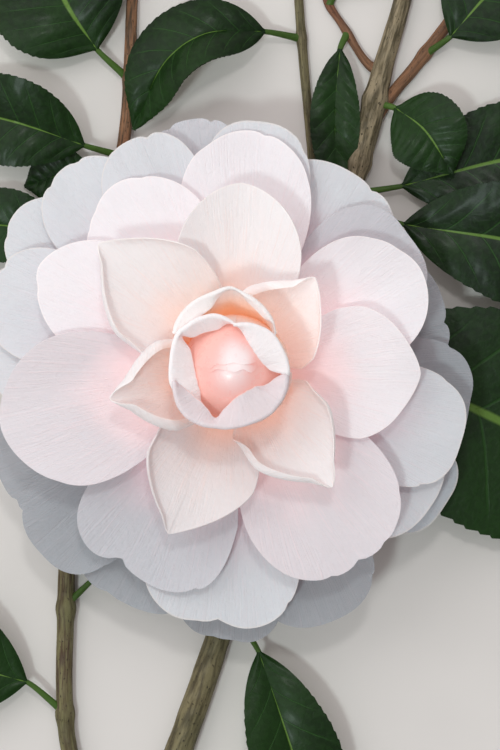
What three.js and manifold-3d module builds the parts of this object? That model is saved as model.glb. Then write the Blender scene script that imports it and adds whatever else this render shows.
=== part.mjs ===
// Cut camellia branch, lying down, with one open formal double bloom facing up.
// Units are millimetres and +Z is up. While it is being shaped, x = y = 0 is the bloom's axis;
// at the end the whole branch is moved so that its origin is the middle of its box, at the bottom.

import * as THREE from 'three';
import { mergeVertices } from 'three/addons/utils/BufferGeometryUtils.js';
import Module from 'manifold-3d';

const wasm = await Module();
wasm.setup();

// Driving dimensions
const CLEAR = 0.3;              // gap between pieces that touch
const FOOT_CLEAR = 0.5;         // from the receptacle's cone to the middle of a petal's foot
const PETAL_THICK = 0.55;
const LEAF_THICK = 0.9;
const RECEPTACLE_FOOT = 8.6;    // height of the underside of the calyx above the ground
const CALYX_RADIUS = 8.4;
const CONE_FOOT = 10.2;         // height where the lowest petals spring
const CONE_FOOT_RADIUS = 6.6;
const CONE_TOP = 23.0;
const CONE_TOP_RADIUS = 3.2;
const LEVEL_STEP = 0.92;        // each level of petals springs this much above the one below
const BUD_RADIUS = 7.5;
const BUD_FOOT = 27.5;          // where the egg of the bud begins above its neck
const BUD_NECK_RADIUS = 2.7;
const BUD_TOP = 50.5;
const CUT_RADIUS = 3.1;         // main stem at its cut end

// How a petal's grid of points is drawn
const HANDLE_SHARE = 0.36;      // length of the midrib's handles, as a share of foot to tip
const ROW_CROWDING = 1.35;      // rows stand closer towards the margin
const TIP_PART = 0.66;          // share of the fan's lines that end on the tip's arc
const SIDE_END = 0.3;           // where the last lines end, along the petal
const NOTCH_WIDTH = 0.13;       // half width of the dent in a tip, as a share of the half petal
const RIPPLES = 5.5;            // turns, in radians, of the ripple from midrib to margin
const LEAST_HALF_WIDTH = 0.6;
const BEND_STEPS = 10;

const COLOURS = {
  petal: 0xf3e2e2, budPetal: 0xf1c4bb, sepal: 0x7d8a55, bark: 0x9c8a70, redBark: 0x7a4a36,
  leaf: 0x1f3a1e,
};

const radians = THREE.MathUtils.degToRad;
const smooth = (from, to, x) => THREE.MathUtils.smoothstep(x, from, to);
const mix = THREE.MathUtils.lerp;

// Closed solids

/** Turns a closed geometry into a manifold solid with its faces pointing out. */
function solidOf(geometry) {
  geometry.deleteAttribute('normal');
  geometry.deleteAttribute('uv');
  const merged = mergeVertices(geometry, 1e-4);
  return new wasm.Manifold(new wasm.Mesh({
    numProp: 3,
    vertProperties: merged.attributes.position.array,
    triVerts: new Uint32Array(merged.index.array),
  }));
}

/** The largest loose piece of a solid: the scraps that a cut leaves are dropped. */
function largest(solid) {
  const pieces = solid.decompose();
  pieces.sort((a, b) => b.volume() - a.volume());
  return pieces[0];
}

/** A geometry for a finished solid, with its largest faces first. */
function geometryOf(solid) {
  const mesh = solid.getMesh();
  const geometry = new THREE.BufferGeometry();
  const places = new Float32Array(mesh.numVert * 3);
  for (let i = 0; i < mesh.numVert; i += 1) {
    places.set(mesh.vertProperties.subarray(i * mesh.numProp, i * mesh.numProp + 3), i * 3);
  }
  geometry.setAttribute('position', new THREE.BufferAttribute(places, 3));
  geometry.setIndex(new THREE.BufferAttribute(mesh.triVerts, 1));
  geometry.computeVertexNormals();
  return geometry;
}

/** Makes a closed geometry from triangles over points, turned so that its volume is positive. */
function closedGeometry(points, triangles) {
  let volume = 0;
  for (const [a, b, c] of triangles) {
    volume += points[a].dot(new THREE.Vector3().crossVectors(points[b], points[c]));
  }
  const index = volume >= 0 ? triangles.flat() : triangles.map(([a, b, c]) => [a, c, b]).flat();
  const geometry = new THREE.BufferGeometry();
  const places = points.flatMap((p) => p.toArray());
  geometry.setAttribute('position', new THREE.Float32BufferAttribute(places, 3));
  geometry.setIndex(index);
  return geometry;
}

/** A sheet of even thickness round a grid of points: two skins and the rim that joins them. */
function sheetGeometry(grid, thickness) {
  const rows = grid.length;
  const cols = grid[0].length;
  const points = [];
  for (const side of [0.5, -0.5]) {
    for (let i = 0; i < rows; i += 1) {
      for (let j = 0; j < cols; j += 1) {
        const along = grid[Math.min(i + 1, rows - 1)][j].clone().sub(grid[Math.max(i - 1, 0)][j]);
        const across = grid[i][Math.min(j + 1, cols - 1)].clone().sub(grid[i][Math.max(j - 1, 0)]);
        const normal = along.cross(across).normalize();
        points.push(grid[i][j].clone().addScaledVector(normal, side * thickness));
      }
    }
  }
  const back = rows * cols;
  const at = (i, j) => i * cols + j;
  const triangles = [];
  for (let i = 0; i < rows - 1; i += 1) {
    for (let j = 0; j < cols - 1; j += 1) {
      const [a, b, c, d] = [at(i, j), at(i, j + 1), at(i + 1, j + 1), at(i + 1, j)];
      triangles.push([a, b, c], [a, c, d]);
      triangles.push([back + a, back + c, back + b], [back + a, back + d, back + c]);
    }
  }
  const rim = [];
  for (let j = 0; j < cols; j += 1) rim.push(at(0, j));
  for (let i = 1; i < rows; i += 1) rim.push(at(i, cols - 1));
  for (let j = cols - 2; j >= 0; j -= 1) rim.push(at(rows - 1, j));
  for (let i = rows - 2; i > 0; i -= 1) rim.push(at(i, 0));
  for (let k = 0; k < rim.length; k += 1) {
    const [a, b] = [rim[k], rim[(k + 1) % rim.length]];
    triangles.push([a, back + b, b], [a, back + a, back + b]);
  }
  return closedGeometry(points, triangles);
}

/** A limb: rings of a radius that changes along a curve, closed by a flat face at each end. */
function limbGeometry(curve, radiusAt, steps, sides) {
  const points = [];
  for (let i = 0; i <= steps; i += 1) {
    const t = i / steps;
    const centre = curve.getPointAt(t);
    const tangent = curve.getTangentAt(t);
    const side = new THREE.Vector3().crossVectors(tangent, new THREE.Vector3(0, 0, 1));
    if (side.length() < 0.1) side.set(1, 0, 0);
    side.normalize();
    const up = new THREE.Vector3().crossVectors(side, tangent).normalize();
    for (let k = 0; k < sides; k += 1) {
      const turn = (k / sides) * Math.PI * 2;
      const radius = radiusAt(t);
      points.push(centre.clone().addScaledVector(side, radius * Math.cos(turn))
        .addScaledVector(up, radius * Math.sin(turn)));
    }
  }
  const triangles = [];
  for (let i = 0; i < steps; i += 1) {
    for (let k = 0; k < sides; k += 1) {
      const next = (k + 1) % sides;
      const [a, b] = [i * sides + k, i * sides + next];
      const [c, d] = [(i + 1) * sides + next, (i + 1) * sides + k];
      triangles.push([a, b, c], [a, c, d]);
    }
  }
  for (let k = 1; k < sides - 1; k += 1) {
    triangles.push([0, k + 1, k]);
    triangles.push([steps * sides, steps * sides + k, steps * sides + k + 1]);
  }
  return closedGeometry(points, triangles);
}

// Petals

/** Radius of the receptacle's cone at a height. */
function coneRadius(height) {
  return mix(CONE_FOOT_RADIUS, CONE_TOP_RADIUS, (height - CONE_FOOT) / (CONE_TOP - CONE_FOOT));
}

/**
 * One petal's sizes, with what most petals share filled in.
 * az: compass of its tip, anticlockwise from +X; reach and tipZ: where the tip is; half: half width;
 * level: order of springing, 0 lowest; rise and fall: slope in degrees at the foot and at the tip;
 * bend: radius of its cross curve; point: 1 for a sharp tip, 0 for a round one; notch: depth of the
 * dent in the tip; lean: sideways tilt in degrees; left and right: degrees its margins roll in.
 */
function petalSizes(given) {
  return {
    level: 0, rise: 30, fall: 0, bend: 45, point: 0, notch: 0, lean: 0, left: 0, right: 0,
    rollWidth: 3, claw: 2.4, waist: 1.15, widest: 0.62, wave: 0.25, footR: null, footZ: null,
    rows: 5, cols: 8, ...given,
  };
}

/** The two powers that round a petal's end: a full round one, or a drawn point. */
const tipPower = (p) => mix(2.3, 1.45, p.point);
const sidePower = (p) => mix(2.3, 1.05, p.point);

/** Half width of a petal at t, from 0 at its foot to 1 at its tip. */
function petalHalfWidth(p, t) {
  if (t <= p.widest) {
    return p.claw + (p.half - p.claw) * Math.sin((Math.PI / 2) * (t / p.widest)) ** p.waist;
  }
  const past = Math.min(1, (t - p.widest) / (1 - p.widest));
  return p.half * (1 - past ** tipPower(p)) ** (1 / sidePower(p));
}

/** Where a petal's lines end on its outline: s runs from -1 on its right side to 1 on its left. */
function petalOutline(p, s) {
  const side = Math.abs(s);
  if (side > TIP_PART) {
    const t = mix(p.widest, SIDE_END, (side - TIP_PART) / (1 - TIP_PART));
    return [t, Math.sign(s) * petalHalfWidth(p, t)];
  }
  const turn = (side / TIP_PART) * (Math.PI / 2);
  const past = Math.cos(turn) ** (2 / tipPower(p));
  const width = p.half * Math.sin(turn) ** (2 / sidePower(p));
  const t = mix(p.widest, 1, past);
  return [t, Math.sign(s) * width];
}

/** The line from the receptacle to the tip of a petal. */
function petalMidrib(p) {
  const footZ = p.footZ ?? CONE_FOOT + 0.5 + p.level * LEVEL_STEP;
  const foot = new THREE.Vector2(p.footR ?? coneRadius(footZ) + FOOT_CLEAR, footZ);
  const tip = new THREE.Vector2(p.reach, p.tipZ);
  const span = foot.distanceTo(tip);
  const out = new THREE.Vector2(Math.cos(radians(p.rise)), Math.sin(radians(p.rise)));
  const end = new THREE.Vector2(Math.cos(radians(p.fall)), Math.sin(radians(p.fall)));
  const first = foot.clone().addScaledVector(out, span * HANDLE_SHARE);
  const second = tip.clone().addScaledVector(end, -span * HANDLE_SHARE);
  const lift = (v) => new THREE.Vector3(v.x, 0, v.y);
  return new THREE.CubicBezierCurve3(lift(foot), lift(first), lift(second), lift(tip));
}

/** Grid of points on the middle of a petal. grow widens and lengthens it evenly. */
function petalGrid(p, grow = 0) {
  const midrib = petalMidrib(p);
  const length = midrib.getLength();
  const turn = new THREE.Matrix4().makeRotationZ(radians(p.az));
  const grid = [];
  for (let i = 0; i < p.rows; i += 1) {
    const u = 1 - (1 - i / (p.rows - 1)) ** ROW_CROWDING;
    const row = [];
    for (let j = 0; j < p.cols; j += 1) {
      const s = mix(-1, 1, j / (p.cols - 1));
      const [endT, endY] = petalOutline(p, s);
      const dent = p.notch * Math.exp(-((s / NOTCH_WIDTH) ** 2));
      const t = mix(-grow / length, endT + (grow - dent) / length, u);
      const y = mix(p.claw * s, endY, u) * (1 + grow / p.half);
      const width = Math.max(petalHalfWidth(p, Math.min(Math.max(t, 0), 1)), LEAST_HALF_WIDTH);
      const roll = (y > 0 ? p.left : p.right) * smooth(0.3, 0.55, t);
      const rollWidth = Math.min(p.rollWidth, width * 0.75);
      let [across, up] = [0, 0];
      for (let k = 0; k < BEND_STEPS; k += 1) {
        const here = Math.abs(y) * ((k + 0.5) / BEND_STEPS);
        const curl = smooth(width - rollWidth, width + 0.4, here);
        const slope = here / p.bend + radians(roll) * curl;
        across += (Math.cos(slope) * Math.abs(y)) / BEND_STEPS;
        up += (Math.sin(slope) * Math.abs(y)) / BEND_STEPS;
      }
      const onRib = Math.min(Math.max(t, 0), 1);
      const place = midrib.getPointAt(onRib);
      const tangent = midrib.getTangentAt(onRib);
      place.addScaledVector(tangent, (t - onRib) * length);
      const normal = new THREE.Vector3(-tangent.z, 0, tangent.x);
      const lean = radians(p.lean) * onRib;
      const ripple = p.wave * Math.sin(RIPPLES * s + p.az) * smooth(0.55, 1, t);
      const tilted = up * Math.cos(lean) + Math.sign(y) * across * Math.sin(lean);
      place.addScaledVector(normal, tilted + ripple);
      place.y += Math.sign(y) * across * Math.cos(lean);
      row.push(place.applyMatrix4(turn));
    }
    grid.push(row);
  }
  return grid;
}

/** A petal's solid, and the same a little fatter, which its neighbours are cut by. */
function petalSolids(p) {
  return {
    solid: solidOf(sheetGeometry(petalGrid(p), PETAL_THICK)),
    room: solidOf(sheetGeometry(petalGrid(p, CLEAR), PETAL_THICK + 2 * CLEAR)),
  };
}

const BUD_WRAPS = [
  { az: 250, reach: 9.4, tipZ: 44.5, half: 14.5, left: 70, right: 85, fall: 105, bend: 10.4 },
  { az: 148, reach: 9.9, tipZ: 45.0, half: 11.5, left: 70, right: 70, fall: 100, bend: 9.9 },
  { az: 42, reach: 7.0, tipZ: 47.0, half: 9.5, left: 25, right: 25, fall: 140, bend: 9.2 },
].map((given, i) => petalSizes({
  footR: 1.6, footZ: CONE_TOP + 1.6 + 1.0 * i, rise: 24, point: 0.6, rollWidth: 5, claw: 1.6,
  widest: 0.66, wave: 0, rows: 6, cols: 7, ...given,
}));

const CUP_PETALS = {
  petal_cup_top: { az: 93, reach: 15.4, tipZ: 44.0, half: 11.5, level: 12.2, rise: 52, fall: 84, bend: 11.5,
    point: 0.7, left: 95, right: 80, rollWidth: 4.5 },
  petal_star_1: { az: 49, reach: 22.5, tipZ: 38.5, half: 11.5, level: 11, rise: 46, fall: 22, bend: 15,
    point: 1, left: 110, right: 25, rollWidth: 3.6 },
  petal_star_2: { az: -50, reach: 28.0, tipZ: 37.5, half: 11.5, level: 11, rise: 46, fall: 10, bend: 17,
    point: 1, left: 30, right: 95, rollWidth: 3.2 },
  petal_star_3: { az: 248, reach: 32.8, tipZ: 33.5, half: 11.0, level: 10, rise: 44, fall: 4, bend: 22,
    point: 1, left: 10, right: 60, rollWidth: 2.6 },
  petal_star_4: { az: 193, reach: 23.2, tipZ: 40.0, half: 12.0, level: 12, rise: 46, fall: 34, bend: 12.5,
    point: 1, left: 95, right: 105, rollWidth: 4 },
  petal_star_5: { az: 137, reach: 34.4, tipZ: 35.5, half: 12.5, level: 11, rise: 45, fall: 6, bend: 20,
    point: 1, left: 60, right: 20, rollWidth: 3.2 },
  petal_star_6: { az: 88, reach: 34.8, tipZ: 32.5, half: 12.0, level: 10, rise: 44, fall: -2, bend: 26,
    point: 0.55 },
};

const SECOND_PETALS = {
  petal_second_1: { az: -1, reach: 34.8, tipZ: 30.0, half: 12.5, level: 8, point: 0.7, lean: 3 },
  petal_second_2: { az: 194, reach: 45.2, tipZ: 29.8, half: 14.5, level: 9, point: 0.5, lean: -3 },
  petal_second_3: { az: 303, reach: 43.6, tipZ: 27.5, half: 15.0, level: 7, notch: 1.0, point: 0.1 },
  petal_second_4: { az: 28.6, reach: 39.8, tipZ: 27.5, half: 12.5, level: 7, point: 0.4 },
  petal_second_5: { az: 86.5, reach: 45.6, tipZ: 23.4, half: 12.5, level: 6, point: 0.2, bend: 90 },
  petal_second_6: { az: 123, reach: 41.7, tipZ: 25.4, half: 12.0, level: 7, point: 0.3, bend: 90 },
  petal_second_7: { az: 152, reach: 41.5, tipZ: 28.2, half: 11.0, level: 8, point: 0.5, bend: 90 },
};

const THIRD_PETALS = {
  petal_third_1: { az: 243, reach: 44.5, tipZ: 23.5, half: 15.0, level: 5, notch: 1.6 },
  petal_third_2: { az: 266, reach: 49.5, tipZ: 20.5, half: 15.0, level: 4, notch: 1.0 },
  petal_third_3: { az: 324.6, reach: 45.7, tipZ: 21.0, half: 12.0, level: 4 },
  petal_third_4: { az: 342, reach: 45.2, tipZ: 23.5, half: 11.5, level: 5 },
  petal_third_5: { az: 38, reach: 42.3, tipZ: 22.5, half: 12.0, level: 4 },
  petal_third_6: { az: 59, reach: 44.0, tipZ: 19.5, half: 13.5, level: 3 },
  petal_third_7: { az: 84, reach: 47.6, tipZ: 21.5, half: 10.5, level: 4 },
  petal_third_8: { az: 100.4, reach: 49, tipZ: 18.8, half: 9.7, level: 2.6 },
  petal_third_9: { az: 114, reach: 48.2, tipZ: 22.6, half: 10.0, level: 5 },
  petal_third_10: { az: 131, reach: 50.8, tipZ: 20.2, half: 10.5, level: 4 },
  petal_third_11: { az: 145, reach: 52.0, tipZ: 18.2, half: 10.0, level: 3 },
  petal_third_12: { az: 161.5, reach: 49.3, tipZ: 21.7, half: 11.1, level: 5 },
  petal_third_13: { az: 175.2, reach: 47.7, tipZ: 20.3, half: 10.9, level: 4.8 },
};

const OUTER_PETALS = {
  petal_outer_1: { az: 244, reach: 50.4, tipZ: 15.5, half: 13.0, level: 1 },
  petal_outer_2: { az: 268.6, reach: 52.9, tipZ: 13.5, half: 11.0, level: 0 },
  petal_outer_3: { az: 291, reach: 52.0, tipZ: 16.2, half: 12.0, level: 1 },
  petal_outer_4: { az: 327.2, reach: 48.4, tipZ: 14.9, half: 10.7, level: 0.3 },
  petal_outer_5: { az: 351.5, reach: 46.2, tipZ: 17.0, half: 11.5, level: 1.3 },
  petal_outer_6: { az: 18.5, reach: 42.4, tipZ: 16.0, half: 11.5, level: 0.3 },
  petal_outer_7: { az: 223, reach: 51.4, tipZ: 17.0, half: 11.0, level: 2 },
  petal_outer_8: { az: 205, reach: 50.4, tipZ: 14.0, half: 11.5, level: 0.3 },
  petal_outer_9: { az: 124.6, reach: 48.9, tipZ: 14.5, half: 10.5, level: 0.1 },
};

/** Fills in the slopes and cross curves that the flat petals of one ring share. */
function ringPetals(table, shared) {
  return Object.fromEntries(Object.entries(table)
    .map(([name, given]) => [name, petalSizes({ ...shared, ...given })]));
}

const PETALS = {
  ...ringPetals(CUP_PETALS, { rows: 7, cols: 10, claw: 2.6 }),
  ...ringPetals(SECOND_PETALS, { rise: 36, fall: -2, bend: 52, widest: 0.66, waist: 1.3, claw: 2.2,
    cols: 9 }),
  ...ringPetals(THIRD_PETALS, { rise: 26, fall: -6, bend: 75, widest: 0.72, waist: 1.5, claw: 2,
    cols: 9 }),
  ...ringPetals(OUTER_PETALS, { rise: 14, fall: -10, bend: 90, widest: 0.74, waist: 1.5, claw: 2,
    cols: 9 }),
};

// Heart of the bloom

/** The bud: an egg on a short neck, with the innermost petals wrapped round it. */
function budSolid(grow = 0) {
  const foot = CONE_TOP + CLEAR - grow;
  const half = (BUD_TOP - BUD_FOOT) / 2;
  const profile = [new THREE.Vector2(0, foot), new THREE.Vector2(BUD_NECK_RADIUS + grow, foot)];
  const steps = 8;
  for (let i = 1; i < steps; i += 1) {
    const turn = (i / steps) * Math.PI;
    const radius = Math.max(BUD_NECK_RADIUS, BUD_RADIUS * Math.sin(turn)) + grow;
    const height = BUD_FOOT + half * (1 - Math.cos(turn)) + (i > steps / 2 ? grow : 0);
    if (height > foot + 1) profile.push(new THREE.Vector2(radius, height));
  }
  profile.push(new THREE.Vector2(0, BUD_TOP + grow));
  const core = solidOf(new THREE.LatheGeometry(profile, 12).rotateX(Math.PI / 2));
  const wraps = BUD_WRAPS.map((p) => solidOf(sheetGeometry(petalGrid(p, grow), PETAL_THICK + 2 * grow)));
  return largest(wraps.reduce((all, wrap) => all.add(wrap), core));
}

/** The calyx under the bloom, with the cone that the petals spring from. grow fattens it evenly. */
function calyxSolid(grow = 0) {
  const profile = [
    [0, RECEPTACLE_FOOT - grow], [2.4 + grow, RECEPTACLE_FOOT - grow],
    [CALYX_RADIUS + grow, RECEPTACLE_FOOT + 1.0 - grow],
    [CALYX_RADIUS + grow, RECEPTACLE_FOOT + 1.4 + grow],
    [CONE_FOOT_RADIUS + grow, CONE_FOOT + grow], [CONE_TOP_RADIUS + grow, CONE_TOP],
    [0, CONE_TOP + grow],
  ].map(([x, y]) => new THREE.Vector2(x, y));
  return solidOf(new THREE.LatheGeometry(profile, 20).rotateX(Math.PI / 2));
}

// Stems

/** A stem through hand-set stations of [x, y, height of its middle, radius]. grow fattens it evenly. */
function stemSolid(stations, steps, sides, grow = 0) {
  const centres = stations.map(([x, y, z]) => new THREE.Vector3(x, y, z));
  const curve = new THREE.CatmullRomCurve3(centres, false, 'centripetal');
  const marks = centres.map((c, i) => (i === 0 ? 0 : c.distanceTo(centres[i - 1])));
  for (let i = 1; i < marks.length; i += 1) marks[i] += marks[i - 1];
  const total = marks[marks.length - 1];
  const radiusAt = (t) => {
    const along = t * total;
    const i = Math.max(1, marks.findIndex((m) => m >= along - 1e-9));
    const share = (along - marks[i - 1]) / (marks[i] - marks[i - 1]);
    return mix(stations[i - 1][3], stations[i][3], share) + grow;
  };
  return solidOf(limbGeometry(curve, radiusAt, steps, sides));
}

const lying = (x, y, radius) => [x, y, radius, radius];

const MAIN_STEM = [
  lying(-25.7, -113.9, CUT_RADIUS), lying(-21.2, -102, 3.15), lying(-18.6, -95, 2.85),
  lying(-11.3, -75.2, 2.75), lying(-4.2, -54.8, 2.5), lying(12.9, 1, 2.4), lying(24.3, 41.6, 2.35),
  lying(26.3, 48.5, 2.45), lying(29.3, 60.6, 2.0), lying(33.0, 73.3, 1.75), lying(37.6, 95, 1.45),
];

/** Side stems: each starts inside the main stem and is cut clear of it. */
const SIDE_STEMS = {
  stem_left: [[-21.2, -102, 3.0, 1.8], [-27, -91, 2.2, 1.75], lying(-33.1, -75.2, 1.65),
    lying(-33.7, -45, 1.7), lying(-31.7, -5.9, 1.5), lying(-26.7, 23.8, 1.35), lying(-22.1, 46.5, 1.25),
    lying(-20.6, 73.3, 1.15), lying(-19.4, 91, 0.95)],
  stem_side_branch: [[26.6, 46.0, 2.3, 1.3], [31.0, 54.3, 1.6, 1.25], lying(35.8, 60.6, 1.2),
    lying(45.3, 73.3, 1.15), lying(56.4, 88, 0.95)],
  stem_mid_twig: [[18.6, 20.4, 2.0, 1.0], [16.0, 31, 1.2, 0.95], lying(15.0, 44.6, 0.9),
    lying(13.5, 60.6, 0.95), lying(12.5, 73.3, 0.9), lying(11.3, 90, 0.75)],
  stem_short_twig: [[29.3, 59.0, 1.9, 0.85], [26.3, 60.8, 1.2, 0.8], lying(21.4, 68.3, 0.75),
    lying(18.2, 73.3, 0.7), lying(15.8, 81.2, 0.6)],
  stem_flower: [[12.9, 1, 2.4, 1.7], [8, 0.8, 4.4, 1.5], [2.6, 0.2, 5.6, 1.5], [0.2, 0, 6.6, 1.7],
    [0, 0, RECEPTACLE_FOOT - CLEAR, 1.9]],
};

// Leaves

/**
 * Each leaf: stem is the point in the stem that it grows from, rib the points its blade's midrib
 * passes through, half its half width, fold the rise of each half in degrees, tilt its turn about
 * the midrib in degrees, positive where its left side is the higher one.
 */
const LEAVES = {
  leaf_right_upper: {
    stem: [22.4, 32.5, 2.2],
    rib: [[33, 28.6, 7.4], [60, 24, 9.5], [88.2, 13.7, 1.2]],
    half: 13, fold: 14, tilt: 14,
  },
  leaf_right_lower: {
    stem: [14.5, 6.0, 3.0],
    rib: [[21, 3.6, 5.4], [46.5, -7.4, 7.2], [89.2, -28.8, 1.0]],
    half: 22, fold: 7, tilt: 0,
  },
  leaf_right_back: {
    stem: [23.0, 35.0, 2.0],
    rib: [[33, 36.5, 3.2], [56, 42, 4.6], [79.4, 43.1, 0.9]],
    half: 11.5, fold: 8, tilt: 0,
  },
  leaf_side_branch: {
    stem: [37.4, 62.6, 1.3],
    rib: [[42.5, 66, 4.4], [52, 76.5, 6.5], [66, 91, 1.0]],
    half: 12.5, fold: 12, tilt: -16,
  },
  leaf_main_inner: {
    stem: [27.6, 53, 2.4],
    rib: [[31.6, 51.6, 5.0], [37.0, 47.0, 8.2], [42.5, 38.5, 7.6]],
    half: 8, fold: 12, tilt: 6,
  },
  leaf_between: {
    stem: [22.2, 67.2, 0.8],
    rib: [[20.6, 63.5, 3.2], [19.6, 52, 4.0], [20.0, 33, 2.9]],
    half: 5, fold: 16, tilt: 0,
  },
  leaf_short_twig: {
    stem: [18.5, 72.8, 0.8],
    rib: [[20.4, 76, 2.6], [24.0, 84, 4.6], [27.4, 100, 1.0]],
    half: 8, fold: 10, tilt: 0,
  },
  leaf_top_arching: {
    stem: [12.9, 66, 0.8],
    rib: [[5.6, 66.8, 4.8], [-5.9, 65.7, 7.6], [-13.4, 60.6, 7.2], [-20.2, 47.6, 3.4]],
    half: 8, fold: 26, tilt: 30,
  },
  leaf_left_upper: {
    stem: [-21.4, 58, 1.0],
    rib: [[-27.6, 63.6, 3.6], [-33.0, 71.5, 5.6], [-39.5, 86.0, 1.0]],
    half: 14.5, fold: 12, tilt: 0,
  },
  leaf_left_long: {
    stem: [-22.8, 42.6, 1.1],
    rib: [[-30, 44.4, 4.6], [-44, 49, 7.0], [-62, 53.0, 1.1]],
    half: 9, fold: 18, tilt: -12,
  },
  leaf_left_small: {
    stem: [-23.4, 38.6, 1.1],
    rib: [[-28.5, 38.8, 2.2], [-34.5, 38.6, 3.0], [-42, 36.6, 1.0]],
    half: 5.5, fold: 20, tilt: 0,
  },
  leaf_left_edge: {
    stem: [-27.4, 21, 1.2],
    rib: [[-34, 25, 3.0], [-45, 28.5, 4.6], [-60.5, 27.6, 1.0]],
    half: 7.5, fold: 14, tilt: 0,
  },
  leaf_low_left: {
    stem: [-33.9, -68, 1.5],
    rib: [[-41.4, -61.4, 4.2], [-62, -55.5, 7.0], [-89.2, -51.0, 1.1]],
    half: 14, fold: 9, tilt: 0,
  },
  leaf_low_right: {
    stem: [-1.3, -46.5, 2.5],
    rib: [[4.6, -55.5, 5.6], [10.6, -73.5, 7.8], [19.6, -103.9, 1.1]],
    half: 9.5, fold: 22, tilt: -16,
  },
  leaf_under_bloom: {
    stem: [-34.2, -47.0, 1.4],
    rib: [[-28.6, -41.6, 3.6], [-19, -31.5, 5.6], [-7.5, -20.4, 1.6]],
    half: 9.5, fold: 10, tilt: 0,
  },
};

const LEAF_ROWS = 8;
const LEAF_COLS = 5;
const PETIOLE_RADIUS = 0.95;

/** Half width of a leaf blade at t, from 0 at its base to 1 at its tip, where it is drawn to a point. */
function leafHalfWidth(half, t) {
  return Math.max(0.5, half * Math.sin(Math.PI * t ** 0.92) ** 0.78 * (1 - 0.2 * smooth(0.75, 1, t)));
}

/** The blade's grid of points: a fold along the midrib, the margins turned a little down. */
function leafGrid(leaf, grow = 0) {
  const points = leaf.rib.map((p) => new THREE.Vector3(...p));
  const midrib = new THREE.CatmullRomCurve3(points, false, 'centripetal');
  const grid = [];
  for (let i = 0; i < LEAF_ROWS; i += 1) {
    const t = i / (LEAF_ROWS - 1);
    const tangent = midrib.getTangentAt(t);
    const place = midrib.getPointAt(t).addScaledVector(tangent, grow * (2 * t - 1));
    const side = new THREE.Vector3(-tangent.y, tangent.x, 0).normalize();
    const up = new THREE.Vector3().crossVectors(tangent, side).normalize();
    side.applyAxisAngle(tangent, radians(leaf.tilt) * Math.sin(Math.PI * t));
    up.applyAxisAngle(tangent, radians(leaf.tilt) * Math.sin(Math.PI * t));
    const width = leafHalfWidth(leaf.half, t) + grow;
    const row = [];
    for (let j = 0; j < LEAF_COLS; j += 1) {
      const v = mix(-1, 1, j / (LEAF_COLS - 1));
      const rise = Math.tan(radians(leaf.fold)) * (Math.abs(v) - 0.42 * v * v) * width;
      row.push(place.clone().addScaledVector(side, v * width).addScaledVector(up, rise));
    }
    grid.push(row);
  }
  return grid;
}

/** A leaf: its blade, and the stalk that runs into the blade's foot. */
function leafSolids(leaf) {
  const blade = new THREE.Vector3(...leaf.rib[0]);
  const inward = new THREE.Vector3(...leaf.rib[1]).sub(blade).normalize();
  const stalk = new THREE.CatmullRomCurve3([
    new THREE.Vector3(...leaf.stem), blade, blade.clone().addScaledVector(inward, 1.4),
  ]);
  const build = (grow) => {
    const taper = (t) => mix(PETIOLE_RADIUS * 1.15, PETIOLE_RADIUS * 0.75, t) + grow;
    return solidOf(sheetGeometry(leafGrid(leaf, grow), LEAF_THICK + 2 * grow))
      .add(solidOf(limbGeometry(stalk, taper, 4, 5)));
  };
  return { solid: build(0), room: build(CLEAR) };
}

// Assembly

const placed = [];

/** Whether the boxes round two solids overlap. */
function boxesMeet(a, b) {
  const [p, q] = [a.boundingBox(), b.boundingBox()];
  return [0, 1, 2].every((k) => p.min[k] < q.max[k] && q.min[k] < p.max[k]);
}

/** Adds a piece, cut clear of every piece placed before it. room is the space that it keeps. */
function place(name, look, { solid, room }) {
  const kept = placed.filter((other) => boxesMeet(other.room, solid))
    .reduce((rest, other) => rest.subtract(other.room), solid);
  placed.push({ name, look, solid: largest(kept), room });
}

place('calyx', 'sepal', { solid: calyxSolid(), room: calyxSolid(CLEAR) });
place('bud', 'budPetal', { solid: budSolid(), room: budSolid(CLEAR) });
for (const [name, sizes] of Object.entries(PETALS)) {
  place(name, 'petal', petalSolids(sizes));
}
place('stem_main', 'bark', {
  solid: stemSolid(MAIN_STEM, 16, 9),
  room: stemSolid(MAIN_STEM, 16, 9, CLEAR),
});
for (const [name, stations] of Object.entries(SIDE_STEMS)) {
  const look = name === 'stem_side_branch' ? 'redBark' : 'bark';
  const steps = Math.round(stations.length * 1.3);
  place(name, look, { solid: stemSolid(stations, steps, 7), room: stemSolid(stations, steps, 7, CLEAR) });
}
for (const [name, leaf] of Object.entries(LEAVES)) {
  place(name, 'leaf', leafSolids(leaf));
}

const branch = new THREE.Group();
for (const { name, look, solid } of placed) {
  const rough = look === 'leaf' ? 0.35 : 0.7;
  const material = new THREE.MeshStandardMaterial({ color: COLOURS[look], roughness: rough, metalness: 0 });
  const mesh = new THREE.Mesh(geometryOf(solid), material);
  mesh.name = name;
  branch.add(mesh);
}
const box = new THREE.Box3().setFromObject(branch);
const middle = box.getCenter(new THREE.Vector3());
branch.position.set(-middle.x, -middle.y, -box.min.z);

export default branch;
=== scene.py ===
"""Dresses a cut camellia branch with one open formal double bloom, lying on a pale floor.

Everything is shaped in millimetres round the bloom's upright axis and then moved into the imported
frame. Each petal, leaf and stem follows the rule and the sizes of its solid, on a finer grid.
"""

import logging
import math
from dataclasses import dataclass, replace
from enum import Enum

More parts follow.
